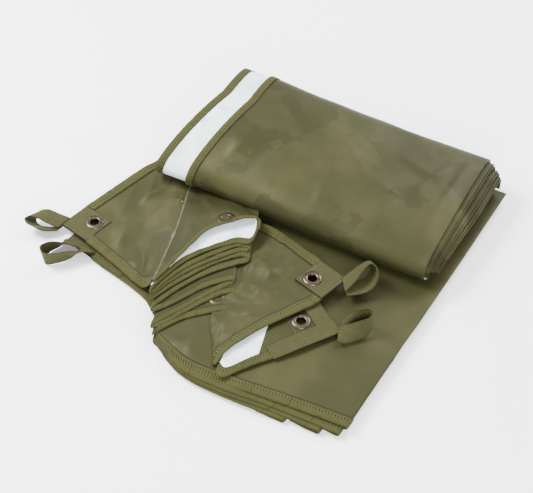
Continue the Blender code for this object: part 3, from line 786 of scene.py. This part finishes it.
TOP_HEIGHTS = flared((150, 236), (-120, -235), (13.3, 0.4), (11.4, -3.4))
LEAVES = [("3", (230, -249), (256, 243), -6,
           flared((190, 232), (-110, -235), (10.6, -1.2), (8.9, -5.0)), "2"),
          ("2", (206, -256), (248, 242), -10,
           flared((150, 205), (-110, -240), (8.0, -0.2), (6.2, -4.6)), "1"),
          ("1", (160, -261), (240, 240), -14,
           flared((90, 158), (-120, -250), (5.2, 0.8), (3.4, -1.9)), "floor")]
# Each row: start, end, width, height and how much softer the far side is.
BASE_CREASES = [
    ((150, -240), (196, 40), 16, 2.2), ((190, -236), (226, 40), 9, 1.6),
    ((118, -232), (128, -150), 7, 1.5), ((70, -236), (96, -222), 4, 1.2),
    ((20, -190), (-30, -236), 8, 2.4), ((-6, -180), (10, -240), 6, 2.0),
    ((-30, -214), (30, -232), 6, 1.6),
]


def base_lift(point, u, v):
    """Broad soft waves, two long bands along the right side, and small puckers."""
    open_air = 1 - smooth(point.y, 0, 26)
    rise = 0.9 * rough(point, 70, 1.0) + 0.7 * rough(point, 33, 2.0)
    rise = creases(point, BASE_CREASES, rise)
    droop = 6.5 * (1 - smooth(v, 0.0, 0.030)) * (1 - smooth(point.x, 20, 120))
    return max(rise, -0.6) * (0.12 + 0.88 * open_air) - droop


def build_base():
    top = Surface(base_leaf((236, -238), (260, 244), 0, TOP_HEIGHTS), base_lift)
    cloth("base_cloth_top", top, (5, 5), [CLOTH], 0.8, "root", ["base_leaf_top"], ["base_cloth_3"])
    bind("base_tape_top", top, "front", 0.0, 0.95, "root", ["binding_base_front"])
    for number, front, back, shift, heights, below in LEAVES:
        leaf = Surface(base_leaf(front, back, shift, heights))
        cloth(f"base_cloth_{number}", leaf, (8, 8), [CLOTH], 0.7, "root",
              [f"base_pleat_{number}"], [f"base_cloth_{below}"])
        bind(f"base_tape_{number}", leaf, "front", 0.1, 0.99, "root", gap=0.4)

    def floor_shape(u, v):
        point = coons(Path((-48, -227, 0), (11, -238, 0), (60, -250, 0), (150, -256, 0)),
                      Path((-190, 246, 0), (30, 247, 0), (236, 238, 0)),
                      Path(*[(x, y, 0) for x, y in BASE_LEFT]),
                      Path((150, -256, 0), (193, -9, 0), (236, 238, 0)))(u, v)
        return Vector((point.x, point.y, 0.9 + 0.3 * rough(point, 50, 8.0)))
    cloth("base_cloth_floor", Surface(floor_shape), (10, 10), [CLOTH], 1.0, "root",
          ["base_leaf_bottom"], ["floor"])


# ---------------------------------------------------------------- left corners

CREASE = Path((-150, 76, 12.2), (-147, 44, 15.8), (-131, -2, 23), (-116, -45, 28.5),
              (-103, -92, 33), (-93, -132, 35.5), (-88.5, -157, 34))


def fold_share(point, fold, far):
    """0 on the outer side of a fold line, rising to 1 at a path beyond it."""
    start, end = Vector(fold[0]), Vector(fold[1])
    along = (end - start).normalized()
    off = Vector((point.x, point.y)) - start
    inside = -along.y * off.x + along.x * off.y
    best = min(hypot(point.x - q.x, point.y - q.y) for q in far)
    return max(inside, 0.0) / (max(inside, 0.0) + best + 1e-6)


CREASE_POINTS = [CREASE.at(i / 24) for i in range(25)]


def left_upper_shape():
    left = Path((-270, -108, 0), (-258, -56, 0), (-240, 12, 0), (-229, 50, 0), (-222, 64, 0),
                (-216, 84, 0))
    right = Path(*[(p.x, p.y, 0) for p in reversed(CREASE.points)])
    front = Path((-270, -108, 0), (-219, -119.7, 0), (-162, -137, 0), (-116, -154, 0),
                 (-88.5, -157, 0))
    back = Path((-216, 84, 0), (-182, 82, 0), (-150, 76, 0))
    flat = coons(front, back, left, right)

    def shape(u, v):
        point = flat(u, v)
        share = fold_share(point, LEFT_FOLD, CREASE_POINTS)
        nearest = min(CREASE_POINTS, key=lambda q: hypot(point.x - q.x, point.y - q.y))
        rise = (nearest.z - UPPER_LEFT["height"]) * share ** 1.25
        return Vector((point.x, point.y, UPPER_LEFT["height"] + max(rise, 0.0)))
    return shape


def in_square(point, corner):
    """How far in along both edges a point is, and how far inside of the square."""
    off = Vector((point.x, point.y)) - Vector(corner["tip"])
    a = off.dot(Vector(corner["back"]))
    b = off.dot(Vector(corner["front"]))
    return a, b, min(corner["side"] - a, corner["side"] - b)


def clear_of_square(corner, margin=4.0):
    """A keep function that leaves out the square sewn in a corner."""
    return lambda u, v, point: not in_square(point, corner)[2] > margin


LEFT_CREASES = [
    ((-206, 44), (-188, -26), 5, 2.4), ((-224, 26), (-210, -40), 4, 1.8),
    ((-196, -46), (-172, -118), 5, 2.2), ((-214, -30), (-190, -96), 4, 1.6),
    ((-188, 62), (-150, 18), 8, 2.4), ((-120, -150), (-150, -96), 5, 2.4),
    ((-108, -140), (-130, -80), 4, 2.0), ((-172, -132), (-130, -124), 4, 1.5),
    ((-170, 40), (-128, -60), 9, 2.6), ((-236, -10), (-172, -122), 1.6, 0.8, 1.0),
]


def left_lift(point, u, v):
    a, b, _ = in_square(point, UPPER_LEFT)
    loose = smooth(max(a, b), 48, 75)
    rise = 1.6 * rough(point, 60, 4.0) + 1.0 * rough(point, 28, 5.0)
    rise += 1.6 * puckers(point, 46, 6.0) * smooth(u, 0.1, 0.5)
    rise = creases(point, LEFT_CREASES, rise)
    edge = smooth(u, 1.0, 0.93)
    return max(1.55 * rise - 1.2, -0.9) * loose * edge * (0.35 + 0.65 * smooth(point.y, 95, 50))


LEFT_BODY = ("flap_left_upper", "root", (-171.7, -54, 11.6), (-163, -49, 11.6))
LEFT_LOWER_BODY = ("flap_left_lower", "root", (-171.7, -54, 3.6), (-163, -49, 3.6))


def build_left_upper():
    surface = Surface(left_upper_shape(), left_lift)

    cloth("left_cloth", surface, (3.5, 3.5), [CLOTH, LINING], 0.8, LEFT_BODY,
          ["flap_left_upper", "panel_left_upper"], ["left_cloth_lower"],
          keep=clear_of_square(UPPER_LEFT))
    bind("left_tape_front", surface, "front", 51 / 190, 0.985, LEFT_BODY,
         ["binding_left_upper_front"])
    bind("left_tape_back", surface, "left", 51 / 200, 1.0, LEFT_BODY,
         ["binding_left_upper_back"])
    square_and_eyelet("left_patch", "patch_left_upper", "left_upper", UPPER_LEFT)


def build_left_lower():
    left = Path((-252, -124.5, 3.6), (-241, -74, 3.6), (-234, 12, 3.6), (-226, 56, 3.6),
                (-216, 80, 3.6))
    right = Path((-66, -190, 3.6), (-82, -140, 3.6), (-112, -20, 3.6), (-150, 80, 3.6))
    front = Path((-252, -124.5, 3.6), (-213, -134, 3.6), (-181, -143, 3.6),
                 (-147, -151, 3.6), (-118, -159, 3.6), (-93, -169, 3.6), (-66, -190, 3.6))
    back = Path((-216, 80, 3.6), (-180, 84, 3.6), (-150, 80, 3.6))
    surface = Surface(coons(front, back, left, right))

    cloth("left_cloth_lower", surface, (6, 6), [CLOTH, LINING], 0.8, LEFT_LOWER_BODY,
          ["flap_left_lower", "panel_left_lower"], ["floor"],
          keep=clear_of_square(LOWER_LEFT))
    bind("left_tape_lower", surface, "front", 0.26, 0.98, LEFT_LOWER_BODY,
         ["binding_left_lower"], width=20.0)
    bind("left_tape_lower_back", surface, "left", 0.26, 0.98, LEFT_LOWER_BODY)
    strap = Surface(lambda u, v: edge_place(surface, "front", 0.25 + 0.30 * v,
                                            0.6 + 24 * u, 2.0))
    cloth("left_strap_lower", strap, (3, 4), [WEBBING], 1.3, "flap_left_lower",
          ["strap_left_lower"])
    square_and_eyelet("left_corner_lower", "corner_left_lower", "left_lower", LOWER_LEFT)


# ---------------------------------------------------------------- right corners

def right_upper_shape():
    left = Path((46, -233, 16.6), (30, -204, 16.0), (4, -166, 15.8), (-2, -130, 15.4),
                (-20, -60, 16.4), (-27, 16, 23.0))
    right = Path((49, -229, 18.2), (50, -214, 21.5), (58, -190, 23.8), (77, -150, 25.5),
                 (101, -112, 27), (121.8, -76.7, 27.6), (137, -27, 27.6))
    front = Path((46, -233, 16.6), (48, -232, 17.2), (49, -229, 18.2))
    back = Path((-27, 16, 23.0), (0, 15, 24.6), (36, 5, 26.2), (87.3, -11.8, 27.6),
                (137, -27, 27.6))
    return coons(front, back, left, right)


RIGHT_CREASES = [
    ((30, 2), (26, -84), 5.5, 3.8, 1.6), ((48, -8), (34, -100), 5, 3.6, 1.6),
    ((10, -30), (16, -120), 5.5, 3.4, 1.8), ((60, -16), (66, -70), 4, 2.6),
    ((30, -100), (66, -96), 5, 3.0), ((-4, -60), (62, -64), 5, 2.2),
    ((8, -104), (58, -112), 5, 2.4), ((24, -150), (64, -132), 5, 2.6),
    ((30, -190), (54, -176), 4, 2.2), ((62, -30), (60, -130), 1.6, 0.9, 1.0),
    ((14, -128), (34, -196), 6, 2.6),
]


def right_lift(point, u, v):
    a, b, _ = in_square(point, UPPER_RIGHT)
    loose = smooth(max(a, b), 48, 72)
    near_fold = exp(-((point.x - 20) / 34) ** 2)
    rise = 1.8 * rough(point, 48, 11.0) + 1.6 * rough(point, 20, 12.0)
    rise += (1.2 + 1.3 * near_fold) * puckers(point, 36, 13.0)
    rise = creases(point, RIGHT_CREASES, rise)
    edge = smooth(u, 0.0, 0.10)
    return max(rise - 1.6, -0.8) * loose * edge * (0.25 + 0.75 * smooth(point.y, 16, -18))


RIGHT_BODY = ("root", "flap_right_upper", (23, -108, 21.4), (33, -106, 21.4))
RIGHT_LOWER_BODY = ("root", "flap_right_lower", (26, -112, 17.2), (36, -110, 17.2))


def build_right_upper():
    surface = Surface(right_upper_shape(), right_lift)

    cloth("right_cloth", surface, (3.2, 3.2), [CLOTH, LINING], 0.8, RIGHT_BODY,
          ["flap_right_upper", "panel_right_upper"], ["right_cloth_lower"],
          keep=clear_of_square(UPPER_RIGHT))
    bind("right_tape_front", surface, "right", 0.0, 0.765, RIGHT_BODY,
         ["binding_right_upper_front"])
    bind("right_tape_back", surface, "back", 0.02, 0.712, RIGHT_BODY,
         ["binding_right_upper_back"])
    square_and_eyelet("right_patch", "patch_right_upper", "right_upper", UPPER_RIGHT)


def build_right_lower():
    height = LOWER_RIGHT["height"]
    tip = corner_point(LOWER_RIGHT, 0, 0, height)
    left = Path((54, -240, 16.8), (40, -150, 17.0), (14, -15, 17.2))
    right = Path(tip, corner_point(LOWER_RIGHT, 56, 0, height), (72, -46, 18.6))
    front = Path((54, -240, 16.8), (67, -243, 17.0), (88, -213, 17.8), (110, -186, 18.6),
                 corner_point(LOWER_RIGHT, 0, 56, height), tip)
    back = Path((14, -15, 17.2), (43, -31, 18), (72, -46, 18.6))
    surface = Surface(coons(front, back, left, right))

    cloth("right_cloth_lower", surface, (4, 4), [LINING, CLOTH], 0.8, RIGHT_LOWER_BODY,
          ["flap_right_lower"], ["base_cloth_top"], keep=clear_of_square(LOWER_RIGHT))
    bind("right_tape_lower_front", surface, "front", 0.0, 0.50, RIGHT_LOWER_BODY,
         ["binding_right_lower_front"])
    bind("right_tape_lower_side", surface, "right", 0.46, 1.0, RIGHT_LOWER_BODY,
         ["binding_right_lower_side"])
    square_and_eyelet("right_corner_lower", "corner_right_lower", "right_lower", LOWER_RIGHT,
                      SHADED_CLOTH)
    triangle()

    def front_strap(u, v):
        bend = corner_point(LOWER_RIGHT, 0, 56, height + 2.2)
        path = Path((109.5, -188, 20.2), (122, -171, 21.2), bend,
                    corner_point(LOWER_RIGHT, 0, 0, height + 2.2))
        point = path.at(v)
        inward = Vector((*LOWER_RIGHT["back"], 0.0))
        return point + inward * (-3.2 + 24.5 * u)
    cloth("right_strap_front", Surface(front_strap), (3, 3), [WEBBING], 1.3,
          "flap_right_lower", ["strap_right_lower_front"])

    def side_strap(u, v):
        start = corner_point(LOWER_RIGHT, 88, 0, height + 2.4)
        point = mix(start, corner_point(LOWER_RIGHT, 20, 0, height + 2.4), v)
        inward = Vector((*LOWER_RIGHT["front"], 0.0))
        return point + inward * (0.5 + 23 * u)
    cloth("right_strap_side", Surface(side_strap), (3, 3), [WEBBING], 1.2,
          "flap_right_lower", ["strap_right_lower_side"])


def triangle():
    """The three-cornered olive cloth sewn over the lining in the corner."""
    front, back = Vector((94, -206, 19.0)), Vector((60, -40, 19.6))
    edge = Path(front, (80, -150, 19.2), (70, -95, 19.4), back)
    other = Path((112, -184, 19.8), (134, -154, 20.4), (112, -96, 20.6), (78, -50, 20.2))

    def shape(u, v):
        return mix(edge.at(v), other.at(v), u)
    cloth("right_triangle", Surface(shape), (4, 4), [SHADED_CLOTH], 0.7, "flap_right_lower",
          keep=clear_of_square(LOWER_RIGHT, 3.0))


# ---------------------------------------------------------------- pleats

FAN = [(-88.5, -160, 33), (-85, -148, 36), (-79, -112, 38.6), (-74, -76, 40.2),
       (-66, -42, 41.2), (-46, -15, 42), (-29, 0, 42.3), (-17, 5, 42),
       (-11, 3, 41.2), (-8, -6, 39.5), (-7, -18, 37), (-7, -28, 34), (-10, -34, 32.2),
       (-18, -37, 31.6), (-28, -42, 31.8), (-54, -74, 32.4), (-70, -105, 32.8),
       (-79, -140, 33.0), (-82.5, -161, 32.8),
       (-83.5, -170, 32.2), (-83, -174, 31.2), (-81.5, -173, 30.2),
       (-78, -160, 30.0), (-70, -128, 30.1), (-56, -95, 29.9), (-26, -47, 29.3),
       (-12, -39, 28.8),
       (-7.5, -38, 28.3), (-6, -40.5, 27.6), (-8, -43.5, 26.9),
       (-16, -48, 27.0), (-38, -78, 27.5), (-56, -108, 27.7), (-70, -140, 27.7),
       (-77.5, -166, 27.5),
       (-79.5, -177, 27.0), (-79, -181, 26.1), (-77.5, -180, 25.3),
       (-73, -165, 25.3), (-64, -140, 25.4), (-50, -110, 25.3), (-36, -82, 25.0),
       (-15, -56, 24.7), (-4, -51, 24.5),
       (0, -51, 24.0), (1.5, -54, 23.3), (0, -58, 22.7),
       (-8, -66, 22.8), (-26, -88, 23.0), (-42, -112, 23.0), (-58, -147, 23.0),
       (-68, -179, 22.8),
       (-70.5, -190, 22.3), (-70, -194, 21.5), (-68.5, -193, 20.7),
       (-62, -186, 20.5), (-50, -166, 20.5), (-30, -126, 20.5), (-12, -103, 20.4),
       (-3, -95, 20.3),
       (0, -94, 19.9), (1, -97, 19.2), (-1, -101, 18.6),
       (-8, -113, 18.5), (-22, -139, 18.5), (-38, -173, 18.3), (-53, -203, 18.0),
       (-57, -211, 17.6), (-57, -215, 17.0), (-55, -214, 16.4),
       (-44, -199, 16.6), (-22, -153, 17.4), (-5, -124, 17.8), (11, -109, 17.9),
       (18, -106, 17.7),
       (23, -108, 17.4), (25, -116, 17.0), (22, -131, 16.4), (13, -142, 16.0),
       (-6, -159, 15.6), (-28, -181, 15.3), (-42, -206, 15.2), (-50, -226, 15.2)]
TIP = 7                       # the point of FAN where the first leaf's edge ends


def build_pleats():
    edge = Path(*FAN)
    tip = edge.stops[TIP] / edge.length
    mouth = edge.stops[18] / edge.length
    rule = Vector((-0.36, 0.93, 0.0))

    def shape(u, v):
        start = edge.at(u)
        if u <= tip:
            far = CREASE.at(1 - u / tip)
            return mix(start, far, v)
        depth = 17 + 55 * smooth(start.x, -84, -48)
        first = CREASE.at(0) - edge.at(tip)
        turn = smooth(u, tip, tip + 0.02)
        reach = first.lerp(rule * depth, turn)
        return start + reach * v

    def lift(point, u, v):
        if u <= tip:
            rise = 1.6 * rough(point, 45, 21.0) + 1.6 * puckers(point, 42, 22.0)
            rise += crease(point, (-120, 30), (-60, -20), 6, 1.6)
            rise += crease(point, (-108, -20), (-80, -90), 5, 1.4)
            return max(rise - 0.5, -0.8) * smooth(v, 1.0, 0.85) * smooth(u, 0, 0.02)
        return 0.5 * rough(point, 14, 23.0)
    surface = Surface(shape, lift)
    # The pleat faces take the darker cloth: painted shade in the folds.
    cloth("pleat_cloth", surface, (3.0, 4.0), [SHADED_CLOTH, LINING, CLOTH], 0.7, "root",
          ["pleat_leaf_top", "pleat_leaf_2", "pleat_leaf_3", "pleat_leaf_4",
           "pleat_leaf_5"], ["base_cloth_top"],
          inside=lambda u, v: 1 if 0.035 < u < mouth + 0.01 else 0)
    bind("pleat_tape", surface, "front", 0.002, 0.995, "root",
         ["binding_pleat_top", "binding_pleat_2", "binding_pleat_3", "binding_pleat_4",
          "binding_pleat_5"], step=2.2, gap=0.42, pucker=0.9,
         width=lambda t: 6.5 if t < tip else 8.8 + 3.5 * rough(Vector((t * 900, 0, 0)), 30, 2.0))
    build_crease()
    facing = Vector((0, 0, 1)).rotation_difference(surface.normal(tip * 0.80, 0.10))
    turned("grommet_middle_upper", FLAT_RING, surface.at(tip * 0.80, 0.105, 0.2),
           facing.to_matrix(), "root", ["eyelet_middle_upper"])
    turned("grommet_middle_lower", FLAT_RING, (-6, -128, 14.9), Matrix.Identity(3), "root",
           ["eyelet_middle_lower"])


def build_crease():
    """The rubbed line along the top of the first fold: a lighter strip, partly wear and partly
    painted highlight on the ridge.
    """
    def shape(u, v):
        point = CREASE.at(0.995 * v)
        wide = 1.0 + 0.5 * rough(point, 15, 31.0) + 1.6 * exp(-((v - 0.62) / 0.03) ** 2)
        ahead = CREASE.at(min(v + 0.02, 1)) - CREASE.at(max(v - 0.02, 0))
        side = Vector((-ahead.y, ahead.x, 0)).normalized()
        bow = 0.55 * (1 - (2 * u - 1) ** 2)
        return point + side * (u - 0.5) * 2 * wide + Vector((0, 0, 0.35 + bow))
    cloth("crease_line", Surface(shape), (0.7, 2.5), [WORN_HIGHLIGHT], 0.35, "root")


# ---------------------------------------------------------------- pack

PACK_LEFT = Path((0, 257, 22), (0, 258, 48), (0, 254, 72), (0, 240, 88), (0, 212, 93.5),
                 (0, 175, 93), (0, 134, 90), (0, 90, 82), (0, 56, 71), (0, 35, 60),
                 (0, 26, 46), (0, 29, 32), (0, 41, 20.5), (0, 62, 16.2), (0, 120, 16.2),
                 (0, 200, 16.2))
PACK_RIGHT = Path((0, 260, 20), (0, 262, 34), (0, 259, 50), (0, 250, 60), (0, 225, 65.5),
                  (0, 180, 66), (0, 134, 65), (0, 90, 63), (0, 52, 60), (0, 27, 53),
                  (0, 17, 42), (0, 18, 30), (0, 28, 19.5), (0, 48, 16.2), (0, 110, 16.2),
                  (0, 200, 16.2))
PACK_ENDS = (-205.0, 232.0)


def pack_point(x, v, inward):
    """A point on the pack's outline at x, moved in towards its middle."""
    t = min(max((x - PACK_ENDS[0]) / (PACK_ENDS[1] - PACK_ENDS[0]), 0.0), 1.05)
    ease = smooth(t)
    point = mix(PACK_LEFT.at(v), PACK_RIGHT.at(v), ease)
    ahead = mix(PACK_LEFT.at(min(v + 0.01, 1)), PACK_RIGHT.at(min(v + 0.01, 1)), ease)
    behind = mix(PACK_LEFT.at(max(v - 0.01, 0)), PACK_RIGHT.at(max(v - 0.01, 0)), ease)
    along = ahead - behind
    normal = Vector((0.0, along.z, -along.y)).normalized()
    crown = 3.0 * sin(pi * min(t, 1.0)) * min(max((point.z - 50) / 15, 0.0), 1.0)
    return Vector((x, point.y, point.z + crown)) - normal * inward


def pack_edge(v, back, front):
    """The X of a slanted cloth edge: back at the top, front below."""
    return back + (front - back) * min(max((v - 0.28) / 0.42, 0.0), 1.0)


PACK_CREASES = [
    ((-86, 150), (-92, 70), 9, 2.0), ((-104, 112), (-96, 66), 4, 1.6),
    ((-30, 150), (-52, 60), 8, 2.0), ((20, 178), (96, 122), 7, 1.8),
    ((96, 122), (150, 112), 4, 1.5), ((110, 190), (190, 168), 8, 1.8),
    ((186, 210), (158, 112), 7, 1.6), ((150, 112), (132, 60), 6, 1.6),
    ((40, 96), (52, 48), 7, 1.4), ((206, 226), (200, 60), 5, 1.8),
    ((-60, 214), (-40, 180), 6, 1.4),
]


def pack_lift(point, u, v):
    """Soft waves on the top, a few long creases and a pulled corner by the right end."""
    top = smooth(point.z, 40, 60)
    rise = 1.5 * rough(point, 110, 41.0) + 0.8 * rough(point, 52, 42.0)
    rise = creases(point, PACK_CREASES, rise, top)
    rise += crease(point, (-20, 30), (200, 20), 6, 1.2)
    rim = smooth(u, 0.0, 0.05) * smooth(u, 1.0, 0.97)
    return (1.35 * rise - 0.8) * (0.35 + 0.65 * rim)


def pack_layer(left, right, inward, lift=None, end=1.0):
    def shape(u, v):
        start = pack_edge(v * end, *left)
        stop = pack_edge(v * end, *right)
        return pack_point(start + (stop - start) * u, v * end, inward)
    return Surface(shape, lift, side=-1)


def right_lift_pack(point, u, v):
    near = smooth(point.x, 205, 240)
    return near * (1.6 * rough(point, 26, 51.0) + 0.8 * rough(point, 12, 52.0))


def build_pack():
    wrap = pack_layer((-120.0, -150.0), (227.0, 229.0), 0.9, pack_lift)
    cloth("pack_cloth", wrap, (3.6, 3.6), [PACK_CLOTH, LINING], 0.9, "pack",
          ["pack_wrap"], ["pack_lining_cloth"])
    bind("pack_tape_outer", wrap, "left", 0.0, 1.0, "pack", ["binding_pack_outer"], width=11.0,
         pucker=0.3)
    under = pack_layer((-164.0, -203.0), (218.0, 220.0), 3.4,
                       lambda p, u, v: 0.35 * pack_lift(p, u, v))
    cloth("pack_lining_cloth", under, (5, 5), [LINING, CLOTH], 0.8, "pack", ["pack_lining"],
          ["pack_turn_cloth_2"])
    bind("pack_tape_inner", under, "left", 0.0, 1.0, "pack", ["binding_pack_inner"], width=12.0,
         pucker=0.3)
    turns = [("2", (-155, -190), (234, 232), 5.6, 0.97, ["pack_turn_2"]),
             ("3", (-150, -180), (237, 233), 8.2, 0.94, ["pack_turn_3"]),
             ("4", (-158, -184), (243, 235), 13.2, 0.93, ["pack_core"]),
             ("5", (-150, -176), (246, 236), 15.8, 0.92, []),
             ("6", (-156, -180), (250, 237.5), 20.4, 0.92, []),
             ("7", (-150, -172), (252, 238), 23.0, 0.92, [])]
    for number, left, right, inward, end, nodes in turns:
        layer = pack_layer(left, right, inward, right_lift_pack, end)
        below = "pack_turn_cloth_" + str(min(int(number) + 1, 7))
        cloth(f"pack_turn_cloth_{number}", layer, (6, 5), [PACK_CLOTH, CLOTH], 0.8, "pack",
              nodes, [below if number != "7" else "pack_turn_cloth_6"])
    build_pack_link()


def build_pack_link():
    """The cloth that joins the base to the pack at the back."""
    def shape(u, v):
        x = -180 + 408 * u
        path = Path((x, 238, 14.6), (x, 250, 14.8), (x, 257.5, 17), (x, 260, 21), (x, 259.4, 27))
        return path.at(v)
    cloth("back_fold_cloth", Surface(shape), (8, 2.2), [CLOTH], 0.7,
          ("root", "pack", (28, 246, 14), (28, 259, 22)))


# ---------------------------------------------------------------- webbing loops

def build_loops():
    ribbon("webbing_loop_left_upper",
           Path((-268, -104.5, 13.6), (-284, -107, 17), (-299, -108.5, 20), (-311, -112, 18.5),
                (-315, -118, 14), (-309, -124, 11), (-297, -125, 10.4), (-283, -120, 8.4),
                (-268, -107, 9.0)),
           [(0.2, 0.97, 0), (0.12, 0.98, -0.05), (0.1, 0.95, -0.12), (0.1, 0.9, -0.3),
            (0.15, 0.85, -0.5), (0.1, 0.75, -0.62), (0.1, 0.75, -0.62), (0.15, 0.88, -0.4),
            (0.2, 0.97, 0)], "loop_left_upper", ["loop_left_upper"])
    ribbon("webbing_loop_left_lower",
           Path((-213, -125, 6.0), (-219, -140, 10), (-229, -156, 13), (-241, -169, 13.8),
                (-252, -175, 13.8), (-262, -167, 13.8), (-259, -153, 13.6), (-249, -140, 11),
                (-241, -126, 5)),
           [(0.97, -0.22, 0), (0.6, -0.3, 0.7), (0.2, -0.2, 0.95), (0.1, -0.15, 1),
            (0, -0.1, 1), (-0.1, -0.1, 1), (0.15, -0.15, 0.97), (0.5, -0.3, 0.8),
            (0.95, -0.25, 0)], "loop_left_lower", ["loop_left_lower"])
    ribbon("webbing_loop_right_upper",
           Path((138, -40, 29.8), (146, -23, 37), (151, -9, 43), (157, 0, 46), (164, 0, 43),
                (168, -9, 37), (167, -21, 31), (158, -31, 27.4), (142, -43, 26.2)),
           [(0.6, -0.8, 0), (0.55, -0.75, 0.25), (0.45, -0.7, 0.5), (0.4, -0.66, 0.6),
            (0.5, -0.62, 0.55), (0.7, -0.6, 0.35), (0.75, -0.6, 0.2), (0.7, -0.7, 0),
            (0.6, -0.8, 0)], "loop_right_upper", ["loop_right_upper"])
    ribbon("webbing_loop_right_lower",
           Path((167, -116, 23.4), (178, -112, 26.5), (189, -104, 30), (199, -93, 33),
                (200, -81, 35), (190, -77, 34), (179, -85, 31), (171, -95, 26),
                (165, -104, 20.8)),
           [(-0.35, 0.93, 0), (-0.32, 0.7, 0.6), (-0.25, 0.5, 0.8), (-0.1, 0.25, 0.95),
            (0, 0.1, 1), (0.05, 0.1, 1), (0, 0.3, 0.95), (-0.2, 0.7, 0.6),
            (-0.35, 0.93, 0)], "loop_right_lower", ["loop_right_lower"])


# ---------------------------------------------------------------- stage

AZIMUTH, ELEVATION, DISTANCE = radians(28), radians(46), 1.96


def build_stage():
    bpy.ops.mesh.primitive_plane_add(size=8, location=(0, 0, -0.0004))
    floor = bpy.context.object
    floor.name = "floor"
    paper = plain_material("paper", (0.96, 0.96, 0.96), 0.8, 300, (0.95, 0.95, 0.95))
    floor.data.materials.append(paper)

    sky = bpy.data.worlds.new("studio")
    bpy.context.scene.world = sky
    sky.use_nodes = True
    sky.node_tree.nodes["Background"].inputs["Color"].default_value = (1, 1, 1, 1)
    sky.node_tree.nodes["Background"].inputs["Strength"].default_value = 1.75
    for name, place, size, power in [("key", (-1.1, -0.1, 1.4), 0.7, 96),
                                     ("fill", (1.0, -1.4, 1.0), 0.9, 62),
                                     ("rim", (0.4, 1.5, 1.2), 0.8, 44)]:
        lamp = bpy.data.lights.new(name, "AREA")
        lamp.energy = power
        lamp.size = size
        item = bpy.data.objects.new(name, lamp)
        bpy.context.scene.collection.objects.link(item)
        item.location = place
        item.rotation_euler = (-Vector(place)).to_track_quat("-Z", "Y").to_euler()

    back = Vector((sin(AZIMUTH) * cos(ELEVATION), -cos(AZIMUTH) * cos(ELEVATION),
                   sin(ELEVATION)))
    camera = bpy.data.cameras.new("camera")
    camera.lens = 94.56
    camera.sensor_width = 36
    eye = bpy.data.objects.new("camera", camera)
    bpy.context.scene.collection.objects.link(eye)
    eye.location = DRAWING + back * DISTANCE
    eye.rotation_euler = back.to_track_quat("Z", "Y").to_euler()
    bpy.context.scene.camera = eye


build_stage()
build_base()
build_left_lower()
build_left_upper()
build_right_lower()
build_right_upper()
build_pleats()
build_pack()
build_loops()
